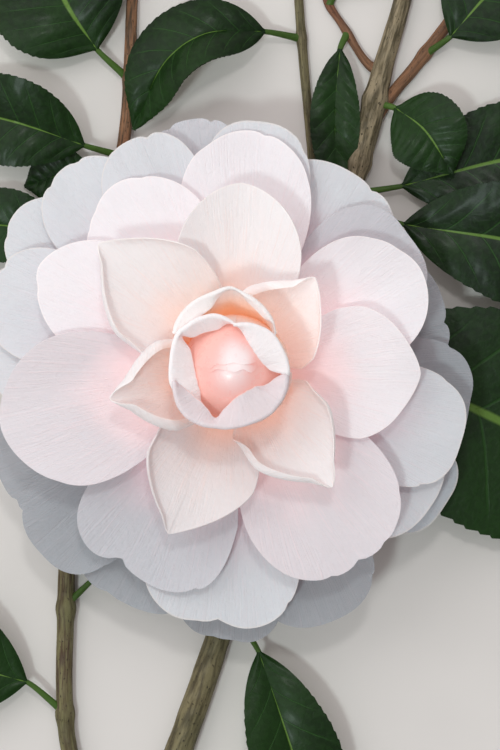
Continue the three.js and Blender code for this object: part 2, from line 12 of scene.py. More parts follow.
import bpy
import numpy as np
from bpy.types import Material, Node, NodeSocket, NodeTree, Object
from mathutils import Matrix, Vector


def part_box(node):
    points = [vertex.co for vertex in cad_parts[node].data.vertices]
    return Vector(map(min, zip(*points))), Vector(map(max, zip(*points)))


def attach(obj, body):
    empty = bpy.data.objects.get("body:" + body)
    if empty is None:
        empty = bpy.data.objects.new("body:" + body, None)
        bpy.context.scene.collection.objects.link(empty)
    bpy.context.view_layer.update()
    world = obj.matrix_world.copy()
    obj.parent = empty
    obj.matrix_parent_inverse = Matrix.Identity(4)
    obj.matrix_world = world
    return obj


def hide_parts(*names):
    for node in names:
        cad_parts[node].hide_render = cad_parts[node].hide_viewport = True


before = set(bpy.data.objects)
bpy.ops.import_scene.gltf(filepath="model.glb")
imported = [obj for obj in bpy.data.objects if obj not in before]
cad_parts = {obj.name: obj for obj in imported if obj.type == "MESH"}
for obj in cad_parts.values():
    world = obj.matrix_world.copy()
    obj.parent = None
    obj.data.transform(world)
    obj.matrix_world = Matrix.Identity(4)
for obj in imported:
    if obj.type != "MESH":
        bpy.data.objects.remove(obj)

log = logging.getLogger("camellia")

Value = float | tuple | NodeSocket     # what a node's input takes

# The branch, in millimetres
PETAL_FOOT_HALF = 0.27       # half thickness of a petal at its foot and at its margin
PETAL_RIM_HALF = 0.11
LEAF_HALF = 0.42
LEAF_RIM_HALF = 0.16
LEAF_VEIN_PAIRS = 8
LEAF_SWEEP = 0.17            # how far a side vein runs towards the tip, as a share of the blade
LEAF_SWEEP_CURVE = 0.8
RECEPTACLE_FOOT = 8.6        # height of the underside of the calyx
CONE_FOOT = 10.2             # the receptacle's cone, which the petals spring from
CONE_FOOT_RADIUS = 6.6
CONE_TOP = 23.0
CONE_TOP_RADIUS = 3.2
FOOT_CLEAR = 0.5
LEVEL_STEP = 0.92            # each level of petals springs this much above the one below
BUD_RADIUS = 9.5
BUD_MIDDLE = 38.6            # height of the bud's widest place
BUD_HEIGHT = 11.2            # from there to its top
BUD_DEPTH = 0.9 * BUD_HEIGHT
LEAST_HEIGHT = 0.02          # a stem that lies on the ground stays this much above it
MILLIMETRE = 0.001
SHARP_ANGLE = 48             # degrees between two faces from which their edge is drawn sharp


class Slot(Enum):
    """The record's material slots."""

    PETAL = "petal"
    BUD = "bud_petal"
    CALYX = "calyx"
    LEAF = "leaf"
    BARK = "bark"
    YOUNG_BARK = "young_bark"


class Ring(Enum):
    """The rings of open petals, from the heart outwards."""

    STAR = "star"
    SECOND = "second"
    THIRD = "third"
    OUTER = "outer"


class Tone(Enum):
    """Painted light and shade: a darker or paler copy of its ring's finish, for how light falls on a petal.
    """

    USUAL = "usual"
    # painted shade: a darker copy of the ring's finish
    DIM = "dim"
    # painted light: a paler copy of the ring's finish
    PALE = "pale"


class Bark(Enum):
    """The kinds of bark."""

    OLD = "old"
    LEFT = "left"
    YOUNG = "young"


def smooth(low: float, high: float, x: np.ndarray) -> np.ndarray:
    """A smooth step.

    Args:
        low: Where the step begins.
        high: Where the step ends.
        x: Values to step.

    Returns:
        0 below low, 1 above high and an easy rise between them.
    """
    x = np.clip((x - low) / (high - low), 0.0, 1.0)
    return x * x * (3.0 - 2.0 * x)


def mix(a: float, b: float, t: float) -> float:
    """The value a share t of the way from a to b."""
    return a + (b - a) * t


def paint(code: str) -> tuple[float, float, float, float]:
    """A colour from its usual six-figure code.

    Args:
        code: Screen colour such as "#f4e6e4".

    Returns:
        The same colour as linear red, green, blue and a full alpha.
    """
    levels = [int(code[i:i + 2], 16) / 255.0 for i in (1, 3, 5)]
    linear = [v / 12.92 if v <= 0.04045 else ((v + 0.055) / 1.055) ** 2.4 for v in levels]
    return (*linear, 1.0)


class Unevenness:
    """Seeded smooth noise over a surface, which repeats round it where it is wrapped."""

    def __init__(self, seed: int, around: int = 16, along: int = 64) -> None:
        """Draws the values.

        Args:
            seed: Seed of the draw.
            around: Values in the first direction, after which the noise repeats.
            along: Values in the second direction.
        """
        self.values = np.random.default_rng(seed).uniform(-1.0, 1.0, (around, along))

    def at(self, x: np.ndarray, y: np.ndarray) -> np.ndarray:
        """The noise at a place.

        Args:
            x: Place in the first direction, 1 for each value.
            y: Place in the second direction.

        Returns:
            Values between -1 and 1.
        """
        i, j = np.floor(x).astype(int), np.floor(y).astype(int)
        across, along = smooth(0.0, 1.0, x - i), smooth(0.0, 1.0, y - j)
        low = mix(self._pick(i, j), self._pick(i + 1, j), across)
        high = mix(self._pick(i, j + 1), self._pick(i + 1, j + 1), across)
        return mix(low, high, along)

    def _pick(self, i: np.ndarray, j: np.ndarray) -> np.ndarray:
        """The drawn values at whole places."""
        around, along = self.values.shape
        return self.values[i % around, j % along]


class Curve:
    """A curve sampled finely, read by the share of its length."""

    BEZIER_SAMPLES = 201
    SPAN_SAMPLES = 41        # between two stations

    def __init__(self, points: np.ndarray) -> None:
        """Keeps the samples and measures along them.

        Args:
            points: Samples in order, one row each.
        """
        self.points = points
        steps = np.linalg.norm(np.diff(points, axis=0), axis=1)
        marks = np.concatenate([[0.0], np.cumsum(steps)])
        self.length = float(marks[-1])
        self.shares = marks / self.length
        slopes = np.gradient(points, marks, axis=0)
        self.tangents = slopes / np.linalg.norm(slopes, axis=1, keepdims=True)

    @classmethod
    def bezier(cls, foot: tuple, first: tuple, second: tuple, tip: tuple) -> "Curve":
        """A cubic curve that leaves and arrives along its two handles.

        Args:
            foot: Where it starts.
            first: End of its first handle.
            second: End of its second handle.
            tip: Where it ends.

        Returns:
            The curve.
        """
        t = np.linspace(0.0, 1.0, cls.BEZIER_SAMPLES)[:, None]
        corners = [np.array(p, float) for p in (foot, first, second, tip)]
        weights = [(1 - t) ** 3, 3 * t * (1 - t) ** 2, 3 * t * t * (1 - t), t ** 3]
        return cls(sum(w * p for w, p in zip(weights, corners)))

    @classmethod
    def through(cls, stations: list[tuple]) -> "Curve":
        """A smooth curve through every station, drawn tighter where the stations are close.

        Args:
            stations: Points of the curve, in order.

        Returns:
            The curve.
        """
        p = [np.array(s[:3], float) for s in stations]
        p = [2 * p[0] - p[1], *p, 2 * p[-1] - p[-2]]
        rows = []
        for i in range(1, len(p) - 2):
            gaps = [math.sqrt(np.linalg.norm(p[k + 1] - p[k])) for k in (i - 1, i, i + 1)]
            leaving = (p[i] - p[i - 1]) / gaps[0] - (p[i + 1] - p[i - 1]) / (gaps[0] + gaps[1])
            leaving = (leaving + (p[i + 1] - p[i]) / gaps[1]) * gaps[1]
            arriving = (p[i + 1] - p[i]) / gaps[1] - (p[i + 2] - p[i]) / (gaps[1] + gaps[2])
            arriving = (arriving + (p[i + 2] - p[i + 1]) / gaps[2]) * gaps[1]
            last = i == len(p) - 3
            t = np.linspace(0.0, 1.0, cls.SPAN_SAMPLES)[:None if last else -1, None]
            rows.append((2 * t ** 3 - 3 * t * t + 1) * p[i] + (t ** 3 - 2 * t * t + t) * leaving
                        + (3 * t * t - 2 * t ** 3) * p[i + 1] + (t ** 3 - t * t) * arriving)
        return cls(np.concatenate(rows))

    def at(self, share: np.ndarray) -> np.ndarray:
        """The points of the curve, run on straight beyond both its ends.

        Args:
            share: Shares of its length.

        Returns:
            A point for each share.
        """
        inside = np.clip(share, 0.0, 1.0)
        place = self._read(self.points, inside)
        return place + self._read(self.tangents, inside) * ((share - inside) * self.length)[..., None]

    def tangent(self, share: np.ndarray) -> np.ndarray:
        """The directions at shares of the length."""
        found = self._read(self.tangents, np.clip(share, 0.0, 1.0))
        return found / np.linalg.norm(found, axis=-1, keepdims=True)

    def _read(self, table: np.ndarray, share: np.ndarray) -> np.ndarray:
        """Reads a table of rows at shares of the length."""
        return np.stack([np.interp(share, self.shares, table[:, k]) for k in range(table.shape[1])], -1)


def revolved(profile: np.ndarray, sides: int) -> np.ndarray:
    """Rings of points round the bloom's axis.

    Args:
        profile: Radius and height of each ring.
        sides: Points in a ring.

    Returns:
        Rings by points by 3.
    """
    around = np.linspace(0, 2 * math.pi, sides, endpoint=False)[None, :]
    return np.stack([profile[:, :1] * np.cos(around), profile[:, :1] * np.sin(around),
                     profile[:, 1:] + 0 * around], -1)


def rings_round(curve: Curve, t: np.ndarray, wide: np.ndarray, high: np.ndarray, sides: int) -> np.ndarray:
    """Rings of points round a curve that lies on the ground or rises from it.

    Args:
        curve: The curve.
        t: Where along it each ring stands.
        wide: Radius sideways, for each ring or for each point.
        high: Radius upwards.
        sides: Points in a ring.

    Returns:
        Rings by points by 3, none of them under the ground.
    """
    spot, way = curve.at(t), curve.tangent(t)
    side = np.cross(way, [0.0, 0.0, 1.0])
    side[np.linalg.norm(side, axis=1) < 0.1] = [1.0, 0.0, 0.0]
    side /= np.linalg.norm(side, axis=1, keepdims=True)
    up = np.cross(side, way)
    turn = np.linspace(0, 2 * math.pi, sides, endpoint=False)
    rings = (spot[:, None, :] + side[:, None, :] * (wide * np.cos(turn))[..., None]
             + up[:, None, :] * (high * np.sin(turn))[..., None])
    rings[..., 2] = np.maximum(rings[..., 2], LEAST_HEIGHT)
    return rings


def swung(out: np.ndarray, side: np.ndarray, height: np.ndarray, az: float) -> np.ndarray:
    """Points turned to a compass about the bloom's axis.

    Args:
        out: Distance along the compass.
        side: Distance to the left of it.
        height: Height.
        az: The compass, in degrees anticlockwise from +X.

    Returns:
        The points, with their coordinates last.
    """
    turn = math.radians(az)
    return np.stack([out * math.cos(turn) - side * math.sin(turn),
                     out * math.sin(turn) + side * math.cos(turn), height], -1)


def pattern(along: np.ndarray, across: np.ndarray) -> np.ndarray:
    """Where the points of a grid lie on the pattern: along the piece and across it."""
    return np.stack(np.broadcast_arrays(along, across), -1)


@dataclass(frozen=True)
class Skin:
    """A closed surface in millimetres: faces, where each corner lies on the pattern, and finishes."""

    points: np.ndarray
    faces: list
    places: list
    finishes: list

    @classmethod
    def sheet(cls, grid: np.ndarray, half: np.ndarray, places: np.ndarray, under: int = 0) -> "Skin":
        """A thin sheet round a grid of points.

        Args:
            grid: Middle of the sheet, rows by columns by 3.
            half: Half its thickness at each point.
            places: Where each point lies on the pattern, rows by columns by 2.
            under: Finish of the lower skin.

        Returns:
            Two skins and the rim that joins them.
        """
        rows, cols = grid.shape[:2]
        normal = np.cross(np.gradient(grid, axis=0), np.gradient(grid, axis=1))
        normal /= np.maximum(np.linalg.norm(normal, axis=-1, keepdims=True), 1e-9)
        upper, lower = grid + normal * half[..., None], grid - normal * half[..., None]
        points = np.concatenate([upper.reshape(-1, 3), lower.reshape(-1, 3)])
        flat = [tuple(p) for p in places.reshape(-1, 2)] * 2
        back = rows * cols
        faces, finishes = [], []
        for i in range(rows - 1):
            for j in range(cols - 1):
                a, b, c, d = i * cols + j, i * cols + j + 1, (i + 1) * cols + j + 1, (i + 1) * cols + j
                faces += [(a, d, c, b), (back + a, back + b, back + c, back + d)]
                finishes += [0, under]
        rim = list(range(cols)) + [i * cols + cols - 1 for i in range(1, rows)]
        rim += [(rows - 1) * cols + j for j in range(cols - 2, -1, -1)]
        rim += [i * cols for i in range(rows - 2, 0, -1)]
        for a, b in zip(rim, rim[1:] + rim[:1]):
            faces.append((a, b, back + b, back + a))
            finishes.append(0)
        return cls(points, faces, [[flat[v] for v in f] for f in faces], finishes)

    @classmethod
    def limb(cls, rings: np.ndarray, along: np.ndarray, ends: int = 0) -> "Skin":
        """A tube over rings of points, closed by a flat face at each end.

        Args:
            rings: Rings by points by 3.
            along: How far along the limb each ring is.
            ends: Finish of the two end faces.

        Returns:
            The closed tube.
        """
        count, sides = rings.shape[:2]
        faces, places = [], []
        for i in range(count - 1):
            low, high = along[i], along[i + 1]
            for k in range(sides):
                n = (k + 1) % sides
                start, end = k / sides, (k + 1) / sides
                faces.append((i * sides + k, i * sides + n, (i + 1) * sides + n, (i + 1) * sides + k))
                places.append([(low, start), (low, end), (high, end), (high, start)])
        finishes = [0] * len(faces)
        turns = [2 * math.pi * k / sides for k in range(sides)]
        for ring in (range(sides - 1, -1, -1), range((count - 1) * sides, count * sides)):
            faces.append(tuple(ring))
            places.append([(0.5 + 0.5 * math.cos(a), 0.5 + 0.5 * math.sin(a)) for a in turns])
            finishes.append(ends)
        return cls(rings.reshape(-1, 3), faces, places, finishes)

    @classmethod
    def joined(cls, skins: list["Skin"]) -> "Skin":
        """Several surfaces as one.

        Args:
            skins: The surfaces.

        Returns:
            One surface, with the faces in the same order.
        """
        faces, start = [], 0
        for skin in skins:
            faces += [tuple(v + start for v in f) for f in skin.faces]
            start += len(skin.points)
        return cls(np.concatenate([s.points for s in skins]), faces,
                   [p for s in skins for p in s.places], [m for s in skins for m in s.finishes])

    def finished(self, number: int) -> "Skin":
        """The same surface, with every face in one finish."""
        return replace(self, finishes=[number] * len(self.faces))


class Frame:
    """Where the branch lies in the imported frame."""

    def __init__(self) -> None:
        """Reads the foot of the bloom's axis from the calyx."""
        low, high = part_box("calyx")
        self.axis = np.array([(low[0] + high[0]) / 2, (low[1] + high[1]) / 2, low[2]])
        self.axis[2] -= RECEPTACLE_FOOT * MILLIMETRE

    def piece(self, name: str, skin: Skin, finishes: list[Material], slot: Slot, *nodes: str) -> Object:
        """Makes a piece of the scene from a surface.

        Args:
            name: Name of the piece.
            skin: Its surface.
            finishes: Materials, in the order that the surface counts them.
            slot: The record's slot for the piece. Not used.
            *nodes: Solids that it stands for.

        Returns:
            The new object.
        """
        mesh = bpy.data.meshes.new(name)
        mesh.from_pydata((skin.points * MILLIMETRE + self.axis).tolist(), [], skin.faces)
        layer = mesh.uv_layers.new(name="UVMap")
        layer.data.foreach_set("uv", np.array([p for f in skin.places for p in f]).ravel())
        mesh.polygons.foreach_set("material_index", skin.finishes)
        mesh.polygons.foreach_set("use_smooth", [True] * len(skin.faces))
        mesh.set_sharp_from_angle(angle=math.radians(SHARP_ANGLE))
        for finish in finishes:
            mesh.materials.append(finish)
        mesh.update()
        made = bpy.data.objects.new(name, mesh)
        bpy.context.scene.collection.objects.link(made)
        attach(made, "root")
        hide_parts(*nodes)
        log.info("%s: %d faces, stands for %s", name, len(skin.faces), ", ".join(nodes))
        return made


# Materials

class Shop:
    """Adds nodes to one shader tree and joins them."""

    def __init__(self, tree: NodeTree) -> None:
        """Keeps the tree that is worked on."""
        self.tree = tree

    def add(self, kind: str, **settings: object) -> Node:
        """Adds a node.

        Args:
            kind: Type of the node.
            **settings: Values of its own settings.

        Returns:
            The node.
        """
        node = self.tree.nodes.new(kind)
        for key, value in settings.items():
            setattr(node, key, value)
        return node

    def feed(self, socket: NodeSocket, value: Value) -> None:
        """Joins an output to a socket, or sets the socket's own value.

        Args:
            socket: The socket.
            value: The output or the value.
        """
        if isinstance(value, NodeSocket):
            self.tree.links.new(value, socket)
        else:
            socket.default_value = value

    def sum(self, operation: str, *values: Value) -> NodeSocket:
        """The result of a sum on numbers.

        Args:
            operation: Name of the operation, such as ADD.
            *values: Numbers or outputs.

        Returns:
            The output.
        """
        node = self.add("ShaderNodeMath", operation=operation)
        for socket, value in zip(node.inputs, values):
            self.feed(socket, value)
        return node.outputs[0]

    def plus(self, a: Value, b: Value) -> NodeSocket:
        """Two numbers added."""
        return self.sum("ADD", a, b)

    def minus(self, a: Value, b: Value) -> NodeSocket:
        """The second number taken from the first."""
        return self.sum("SUBTRACT", a, b)

    def times(self, a: Value, b: Value) -> NodeSocket:
        """Two numbers multiplied."""
        return self.sum("MULTIPLY", a, b)

    def ease(self, value: Value, low: float, high: float) -> NodeSocket:
        """A smooth step of a number.

        Args:
            value: The number.
            low: Where the result is 0.
            high: Where it is 1.

        Returns:
            The output.
        """
        node = self.add("ShaderNodeMapRange", interpolation_type="SMOOTHSTEP")
        for key, given in (("Value", value), ("From Min", low), ("From Max", high)):
            self.feed(node.inputs[key], given)
        return node.outputs["Result"]

    def blend(self, share: Value, a: Value, b: Value) -> NodeSocket:
        """A colour between two others.

        Args:
            share: How much of the second one there is.
            a: The first colour.
            b: The second colour.

        Returns:
            The output.
        """
        node = self.add("ShaderNodeMix", data_type="RGBA", blend_type="MIX")
        for socket, given in ((0, share), (6, a), (7, b)):
            self.feed(node.inputs[socket], given)
        return node.outputs[2]

    def vector(self, x: Value, y: Value, z: Value = 0.0) -> NodeSocket:
        """A vector.

        Args:
            x: Its first part.
            y: Its second part.
            z: Its third part.

        Returns:
            The output.
        """
        node = self.add("ShaderNodeCombineXYZ")
        for socket, value in zip(node.inputs, (x, y, z)):
            self.feed(socket, value)
        return node.outputs[0]

    def noise(self, place: NodeSocket, scale: Value, detail: float = 3.0, rough: float = 0.5) -> NodeSocket:
        """Noise, mostly between 0.25 and 0.75.

        Args:
            place: Where it is read.
            scale: How close its lumps stand.
            detail: How many finer sizes of lumps it has.
            rough: How much the finer ones count.

        Returns:
            The output.
        """
        node = self.add("ShaderNodeTexNoise", noise_dimensions="3D")
        for key, given in (("Vector", place), ("Scale", scale), ("Detail", detail), ("Roughness", rough)):
            self.feed(node.inputs[key], given)
        return node.outputs["Fac"]

    def group(self, tree: NodeTree, **values: Value) -> dict[str, NodeSocket]:
        """Places a shared effect.

        Args:
            tree: Its group.
            **values: What its inputs take.

        Returns:
            Its outputs by name.
        """
        node = self.add("ShaderNodeGroup", node_tree=tree)
        for key, value in values.items():
            self.feed(node.inputs[key], value)
        return {socket.name: socket for socket in node.outputs}


class GroupShop(Shop):
    """Builds one shared effect: its inputs, its nodes and its outputs."""

    def __init__(self, name: str, takes: dict[str, float | None], gives: tuple[str, ...]) -> None:
        """Starts the group.

        Args:
            name: Its name.
            takes: Usual value of each input, and None for a place.
            gives: Names of its outputs.
        """
        super().__init__(bpy.data.node_groups.new(name, "ShaderNodeTree"))
        for title, value in takes.items():
            kind = "NodeSocketVector" if value is None else "NodeSocketFloat"
            socket = self.tree.interface.new_socket(title, in_out="INPUT", socket_type=kind)
            if value is not None:
                socket.default_value = value
        for title in gives:
            self.tree.interface.new_socket(title, in_out="OUTPUT", socket_type="NodeSocketFloat")
        self.take = self.add("NodeGroupInput").outputs
        self.end = self.add("NodeGroupOutput").inputs

    def give(self, title: str, value: NodeSocket) -> None:
        """Fills one of the outputs."""
        self.feed(self.end[title], value)


class Groups:
    """The effects that more than one material uses, each built once."""

    def __init__(self) -> None:
        """Builds every group."""
        self.veins = self._veins()
        self.mottle = self._mottle()
        self.streaks = self._streaks()

    @staticmethod
    def _veins() -> NodeTree:
        """Fine veins that fan out from a petal's foot.

        Returns:
            A group that gives where they are, and their height.
        """
        shop = GroupShop("Petal veins", {"Along": 0.0, "Across": 0.0, "Count": 40.0}, ("Mask", "Height"))
        along, across = shop.take["Along"], shop.take["Across"]
        wander = shop.noise(shop.vector(shop.times(across, 4.0), along, 7.0), 3.0, 2.0)
        bent = shop.plus(across, shop.times(wander, 0.035))
        place = shop.vector(shop.times(bent, shop.take["Count"]), shop.times(along, 2.2))
        lines = shop.noise(place, 1.0, 2.5, 0.6)
        shop.give("Mask", shop.ease(lines, 0.50, 0.72))
        shop.give("Height", lines)
        return shop.tree

    @staticmethod
    def _mottle() -> NodeTree:
        """Uneven patches.

        Returns:
            A group that gives broad patches and fine ones.
        """
        shop = GroupShop("Mottle", {"Place": None, "Scale": 90.0}, ("Broad", "Fine"))
        place, scale = shop.take["Place"], shop.take["Scale"]
        shop.give("Broad", shop.ease(shop.noise(place, scale, 2.0), 0.38, 0.64))
        shop.give("Fine", shop.ease(shop.noise(place, shop.times(scale, 12.0), 3.0), 0.35, 0.65))
        return shop.tree

    @staticmethod
    def _streaks() -> NodeTree:
        """Bark: long streaks that run along a stem, and small dark pores.

        Returns:
            A group that gives where the streaks and the pores are, and the height of both.
        """
        shop = GroupShop("Bark streaks", {"Along": 0.0, "Around": 0.0}, ("Streak", "Pore", "Height"))
        along, turn = shop.take["Along"], shop.times(shop.take["Around"], 2 * math.pi)
        ring_x, ring_y = shop.sum("COSINE", turn), shop.sum("SINE", turn)
        drawn = shop.vector(shop.times(ring_x, 2.6), shop.times(ring_y, 2.6), shop.times(along, 0.16))
        lines = shop.noise(drawn, 1.0, 4.0, 0.62)
        close = shop.vector(shop.times(ring_x, 6.0), shop.times(ring_y, 6.0), shop.times(along, 1.5))
        pores = shop.ease(shop.noise(close, 1.0, 1.0), 0.66, 0.74)
        shop.give("Streak", shop.ease(lines, 0.36, 0.64))
        shop.give("Pore", pores)
        shop.give("Height", shop.minus(lines, shop.times(pores, 0.35)))
        return shop.tree


class SurfaceShop(Shop):
    """Dresses the surface of one material."""

    def __init__(self, tree: NodeTree, groups: Groups) -> None:
        """Starts with the surface shader, joined to the output.

        Args:
            tree: The material's nodes.
            groups: The shared effects.
        """
        super().__init__(tree)
        self.groups = groups
        self.shader = self.add("ShaderNodeBsdfPrincipled")
        self.feed(self.add("ShaderNodeOutputMaterial").inputs["Surface"], self.shader.outputs[0])
        self.place = self.add("ShaderNodeTexCoord").outputs["Object"]

    def pattern(self) -> tuple[NodeSocket, NodeSocket]:
        """The place of a point on the pattern.

        Returns:
            How far along the piece it is, and how far across.
        """
        parts = self.add("ShaderNodeSeparateXYZ")
        self.feed(parts.inputs[0], self.add("ShaderNodeUVMap", uv_map="UVMap").outputs[0])
        return parts.outputs[0], parts.outputs[1]

    def mottle(self, scale: float) -> dict[str, NodeSocket]:
        """Uneven patches of a scale over the piece."""
        return self.group(self.groups.mottle, Place=self.place, Scale=scale)

    def finish(self, **values: Value) -> None:
        """Gives the surface shader's inputs what they take, with an underscore for each space."""
        for key, value in values.items():
            self.feed(self.shader.inputs[key.replace("_", " ")], value)

    def emboss(self, height: NodeSocket, depth: float, strength: float) -> None:
        """Raises the surface in the shader.

        Args:
            height: How high each point stands.
            depth: Metres that a height of 1 stands for.
            strength: How much of it shows.
        """
        bump = self.add("ShaderNodeBump")
        for key, given in (("Strength", strength), ("Distance", depth), ("Height", height)):
            self.feed(bump.inputs[key], given)
        self.finish(Normal=bump.outputs[0])


@dataclass(frozen=True)
class Finish:
    """A finish, by name."""

    name: str

    def material(self, groups: Groups) -> Material:
        """Builds the material.

        Args:
            groups: The shared effects.

        Returns:
            The material.
        """
        made = bpy.data.materials.new(self.name)
        made.use_nodes = True
        made.node_tree.nodes.clear()
        self.dress(SurfaceShop(made.node_tree, groups))
        return made

    def dress(self, shop: SurfaceShop) -> None:
        """Adds the finish's own nodes, which each kind of finish gives."""
        raise NotImplementedError(self.name)


@dataclass(frozen=True)
class PetalFinish(Finish):
    """Thin, matt, translucent petal with a painted glow at its foot, palest near its margin.

    heart, throat, body and rim are its colours from foot to margin. The heart's ends at heart_end
    along the petal and the throat's at throat_end. Emission paints a glow on it that lightens its
    shadows, as if light came through it: in the heart's colour and further out in blush, as strong as ember.
    """

    heart: str
    throat: str
    body: str
    rim: str
    # colour of the painted glow away from the heart
    painted_glow_colour: str
    heart_end: float
    throat_end: float
    # strength of the painted glow: emission that stands for light coming through the petal
    painted_glow: float
    vein_share: float = 0.2
    rough: float = 0.5
    gloss: float = 0.32
    relief: float = 0.0002

    UNDER_SKIN = 0.3                     # share of the light that goes through the skin
    UNDER_SKIN_REACH = (1.0, 0.75, 0.7)  # how far each colour of it goes
    UNDER_SKIN_DEPTH = 0.0014
    SHEEN = 0.12
    SHEEN_ROUGH = 0.5
    PATCHES = 70.0
    PATCH_SHIFT = 0.09                   # how far patches push the colours along the petal
    VEINS = 110.0
    HEART_START = 0.05
    EDGE = (0.988, 0.999)                # where the margin's colour sets in

    def dress(self, shop: SurfaceShop) -> None:
        """Adds the petal's colours, gloss, painted glow and veins.

        Args:
            shop: The material's nodes.
        """
        along, across = shop.pattern()
        mottle = shop.mottle(self.PATCHES)
        veins = shop.group(shop.groups.veins, Along=along, Across=across, Count=self.VEINS)
        heart, throat = paint(self.heart), paint(self.throat)
        shifted = shop.plus(along, shop.times(mottle["Broad"], self.PATCH_SHIFT))
        warm = shop.blend(shop.ease(shifted, self.HEART_START, self.heart_end), heart, throat)
        body = shop.blend(shop.ease(shifted, self.heart_end * 0.7, self.throat_end), warm, paint(self.body))
        lined = shop.blend(shop.times(veins["Mask"], self.vein_share), body, throat)
        # painted glow: emission from the heart's colour to blush, lightening the petal's shadows
        glow = shop.ease(shifted, 0.6 * self.heart_end, self.throat_end)
        shop.finish(Base_Color=shop.blend(shop.ease(along, *self.EDGE), lined, paint(self.rim)),
                    Roughness=shop.plus(self.rough, shop.times(mottle["Fine"], 0.12)),
                    Specular_IOR_Level=self.gloss, Subsurface_Weight=self.UNDER_SKIN,
                    Subsurface_Radius=self.UNDER_SKIN_REACH, Subsurface_Scale=self.UNDER_SKIN_DEPTH,
                    Emission_Color=shop.blend(glow, heart, paint(self.painted_glow_colour)), Emission_Strength=self.painted_glow,
                    Sheen_Weight=self.SHEEN, Sheen_Roughness=self.SHEEN_ROUGH)
        shop.emboss(shop.plus(veins["Height"], shop.times(mottle["Fine"], 0.25)), self.relief, 0.8)


@dataclass(frozen=True)
class LeafFinish(Finish):
    """A leathery leaf: dark gloss, pale midrib and side veins."""

    blade: str
    patch: str
    vein: str
    midrib: str
    roughness: float
    coat: float

    PATCHES = 55.0
    NET = 900.0                          # how close the net between the veins is
    NET_SHARE = 0.16                     # how much of the veins' colour the net and the side veins have
    VEIN_SHARE = 0.62

    def dress(self, shop: SurfaceShop) -> None:
        """Adds the leaf's patches, its veins and the net between them.

        Args:
            shop: The material's nodes.
        """
        along, across = shop.pattern()
        mottle = shop.mottle(self.PATCHES)
        off = shop.sum("ABSOLUTE", shop.minus(shop.times(across, 2.0), 1.0))
        swept = shop.minus(along, shop.times(shop.sum("POWER", off, LEAF_SWEEP_CURVE), LEAF_SWEEP))
        wave = shop.sum("COSINE", shop.times(swept, 2 * math.pi * LEAF_VEIN_PAIRS))
        side = shop.times(shop.ease(wave, 0.955, 0.999), shop.ease(off, 0.97, 0.55))
        net = shop.ease(shop.noise(shop.place, self.NET, 2.0), 0.40, 0.62)
        blade = shop.blend(mottle["Broad"], paint(self.blade), paint(self.patch))
        veined = shop.blend(shop.times(side, self.VEIN_SHARE), blade, paint(self.vein))
        netted = shop.blend(shop.times(net, self.NET_SHARE), veined, paint(self.vein))
        shop.finish(Base_Color=shop.blend(shop.ease(off, 0.055, 0.02), netted, paint(self.midrib)),
                    Roughness=shop.plus(self.roughness, shop.times(mottle["Fine"], 0.1)),
                    Specular_IOR_Level=0.18, Coat_Weight=self.coat, Coat_Roughness=0.22)
        shop.emboss(shop.minus(shop.times(net, 0.3), shop.times(side, 0.8)), 0.0002, 0.5)


@dataclass(frozen=True)
class BarkFinish(Finish):
    """Bark with long streaks and pores, whose pale streaks turn to another colour far up the stem."""

    dark: str
    pale: str
    pore: str
    flush: str
    flush_share: float
    far: str

    PATCHES = 45.0
    FAR = (60.0, 120.0)                  # millimetres along the stem where the far colour sets in

    def dress(self, shop: SurfaceShop) -> None:
        """Adds the bark's streaks, its flush and its pores.

        Args:
            shop: The material's nodes.
        """
        along, around = shop.pattern()
        streaks = shop.group(shop.groups.streaks, Along=along, Around=around)
        mottle = shop.mottle(self.PATCHES)
        near = shop.blend(streaks["Streak"], paint(self.dark), paint(self.pale))
        aged = shop.blend(shop.times(mottle["Broad"], self.flush_share), near, paint(self.flush))
        far = shop.blend(streaks["Streak"], paint(self.dark), paint(self.far))
        bark = shop.blend(shop.ease(along, *self.FAR), aged, far)
        shop.finish(Base_Color=shop.blend(streaks["Pore"], bark, paint(self.pore)),
                    Roughness=shop.plus(0.62, shop.times(mottle["Fine"], 0.2)))
        shop.emboss(streaks["Height"], 0.0004, 0.8)


@dataclass(frozen=True)
class CutFinish(Finish):
    """Fresh cut wood: faint rings round a small pith."""

    wood: str
    ring: str

    PATCHES = 300.0
    WOBBLE = 0.02
    RING_TURNS = 75.0
    PITH = (0.09, 0.04)                  # where the pith begins and where it is full

    def dress(self, shop: SurfaceShop) -> None:
        """Adds the rings and the pith.

        Args:
            shop: The material's nodes.
        """
        along, across = shop.pattern()
        dx, dy = shop.minus(along, 0.5), shop.minus(across, 0.5)
        off = shop.sum("SQRT", shop.plus(shop.times(dx, dx), shop.times(dy, dy)))
        wobble = shop.plus(off, shop.times(shop.mottle(self.PATCHES)["Broad"], self.WOBBLE))
        rings = shop.ease(shop.sum("SINE", shop.times(wobble, self.RING_TURNS)), 0.2, 0.95)
        share = shop.sum("MAXIMUM", shop.times(rings, 0.5), shop.ease(off, *self.PITH))
        shop.finish(Base_Color=shop.blend(share, paint(self.wood), paint(self.ring)), Roughness=0.75)


@dataclass(frozen=True)
class SepalFinish(Finish):
    """A sepal: green at its foot, browner and downy towards its margin."""

    foot: str
    tip: str

    PATCHES = 160.0
    VEINS = 30.0
    VEIN_SHARE = 0.35

    def dress(self, shop: SurfaceShop) -> None:
        """Adds the sepal's colours, its down and its veins.

        Args:
            shop: The material's nodes.
        """
        along, across = shop.pattern()
        veins = shop.group(shop.groups.veins, Along=along, Across=across, Count=self.VEINS)
        turned = shop.plus(along, shop.times(shop.mottle(self.PATCHES)["Broad"], 0.3))
        skin = shop.blend(shop.ease(turned, 0.35, 1.15), paint(self.foot), paint(self.tip))
        lined = shop.blend(shop.times(veins["Mask"], self.VEIN_SHARE), skin, paint(self.tip))
        shop.finish(Base_Color=lined, Roughness=0.6, Sheen_Weight=0.4)
        shop.emboss(veins["Height"], 0.0002, 0.5)


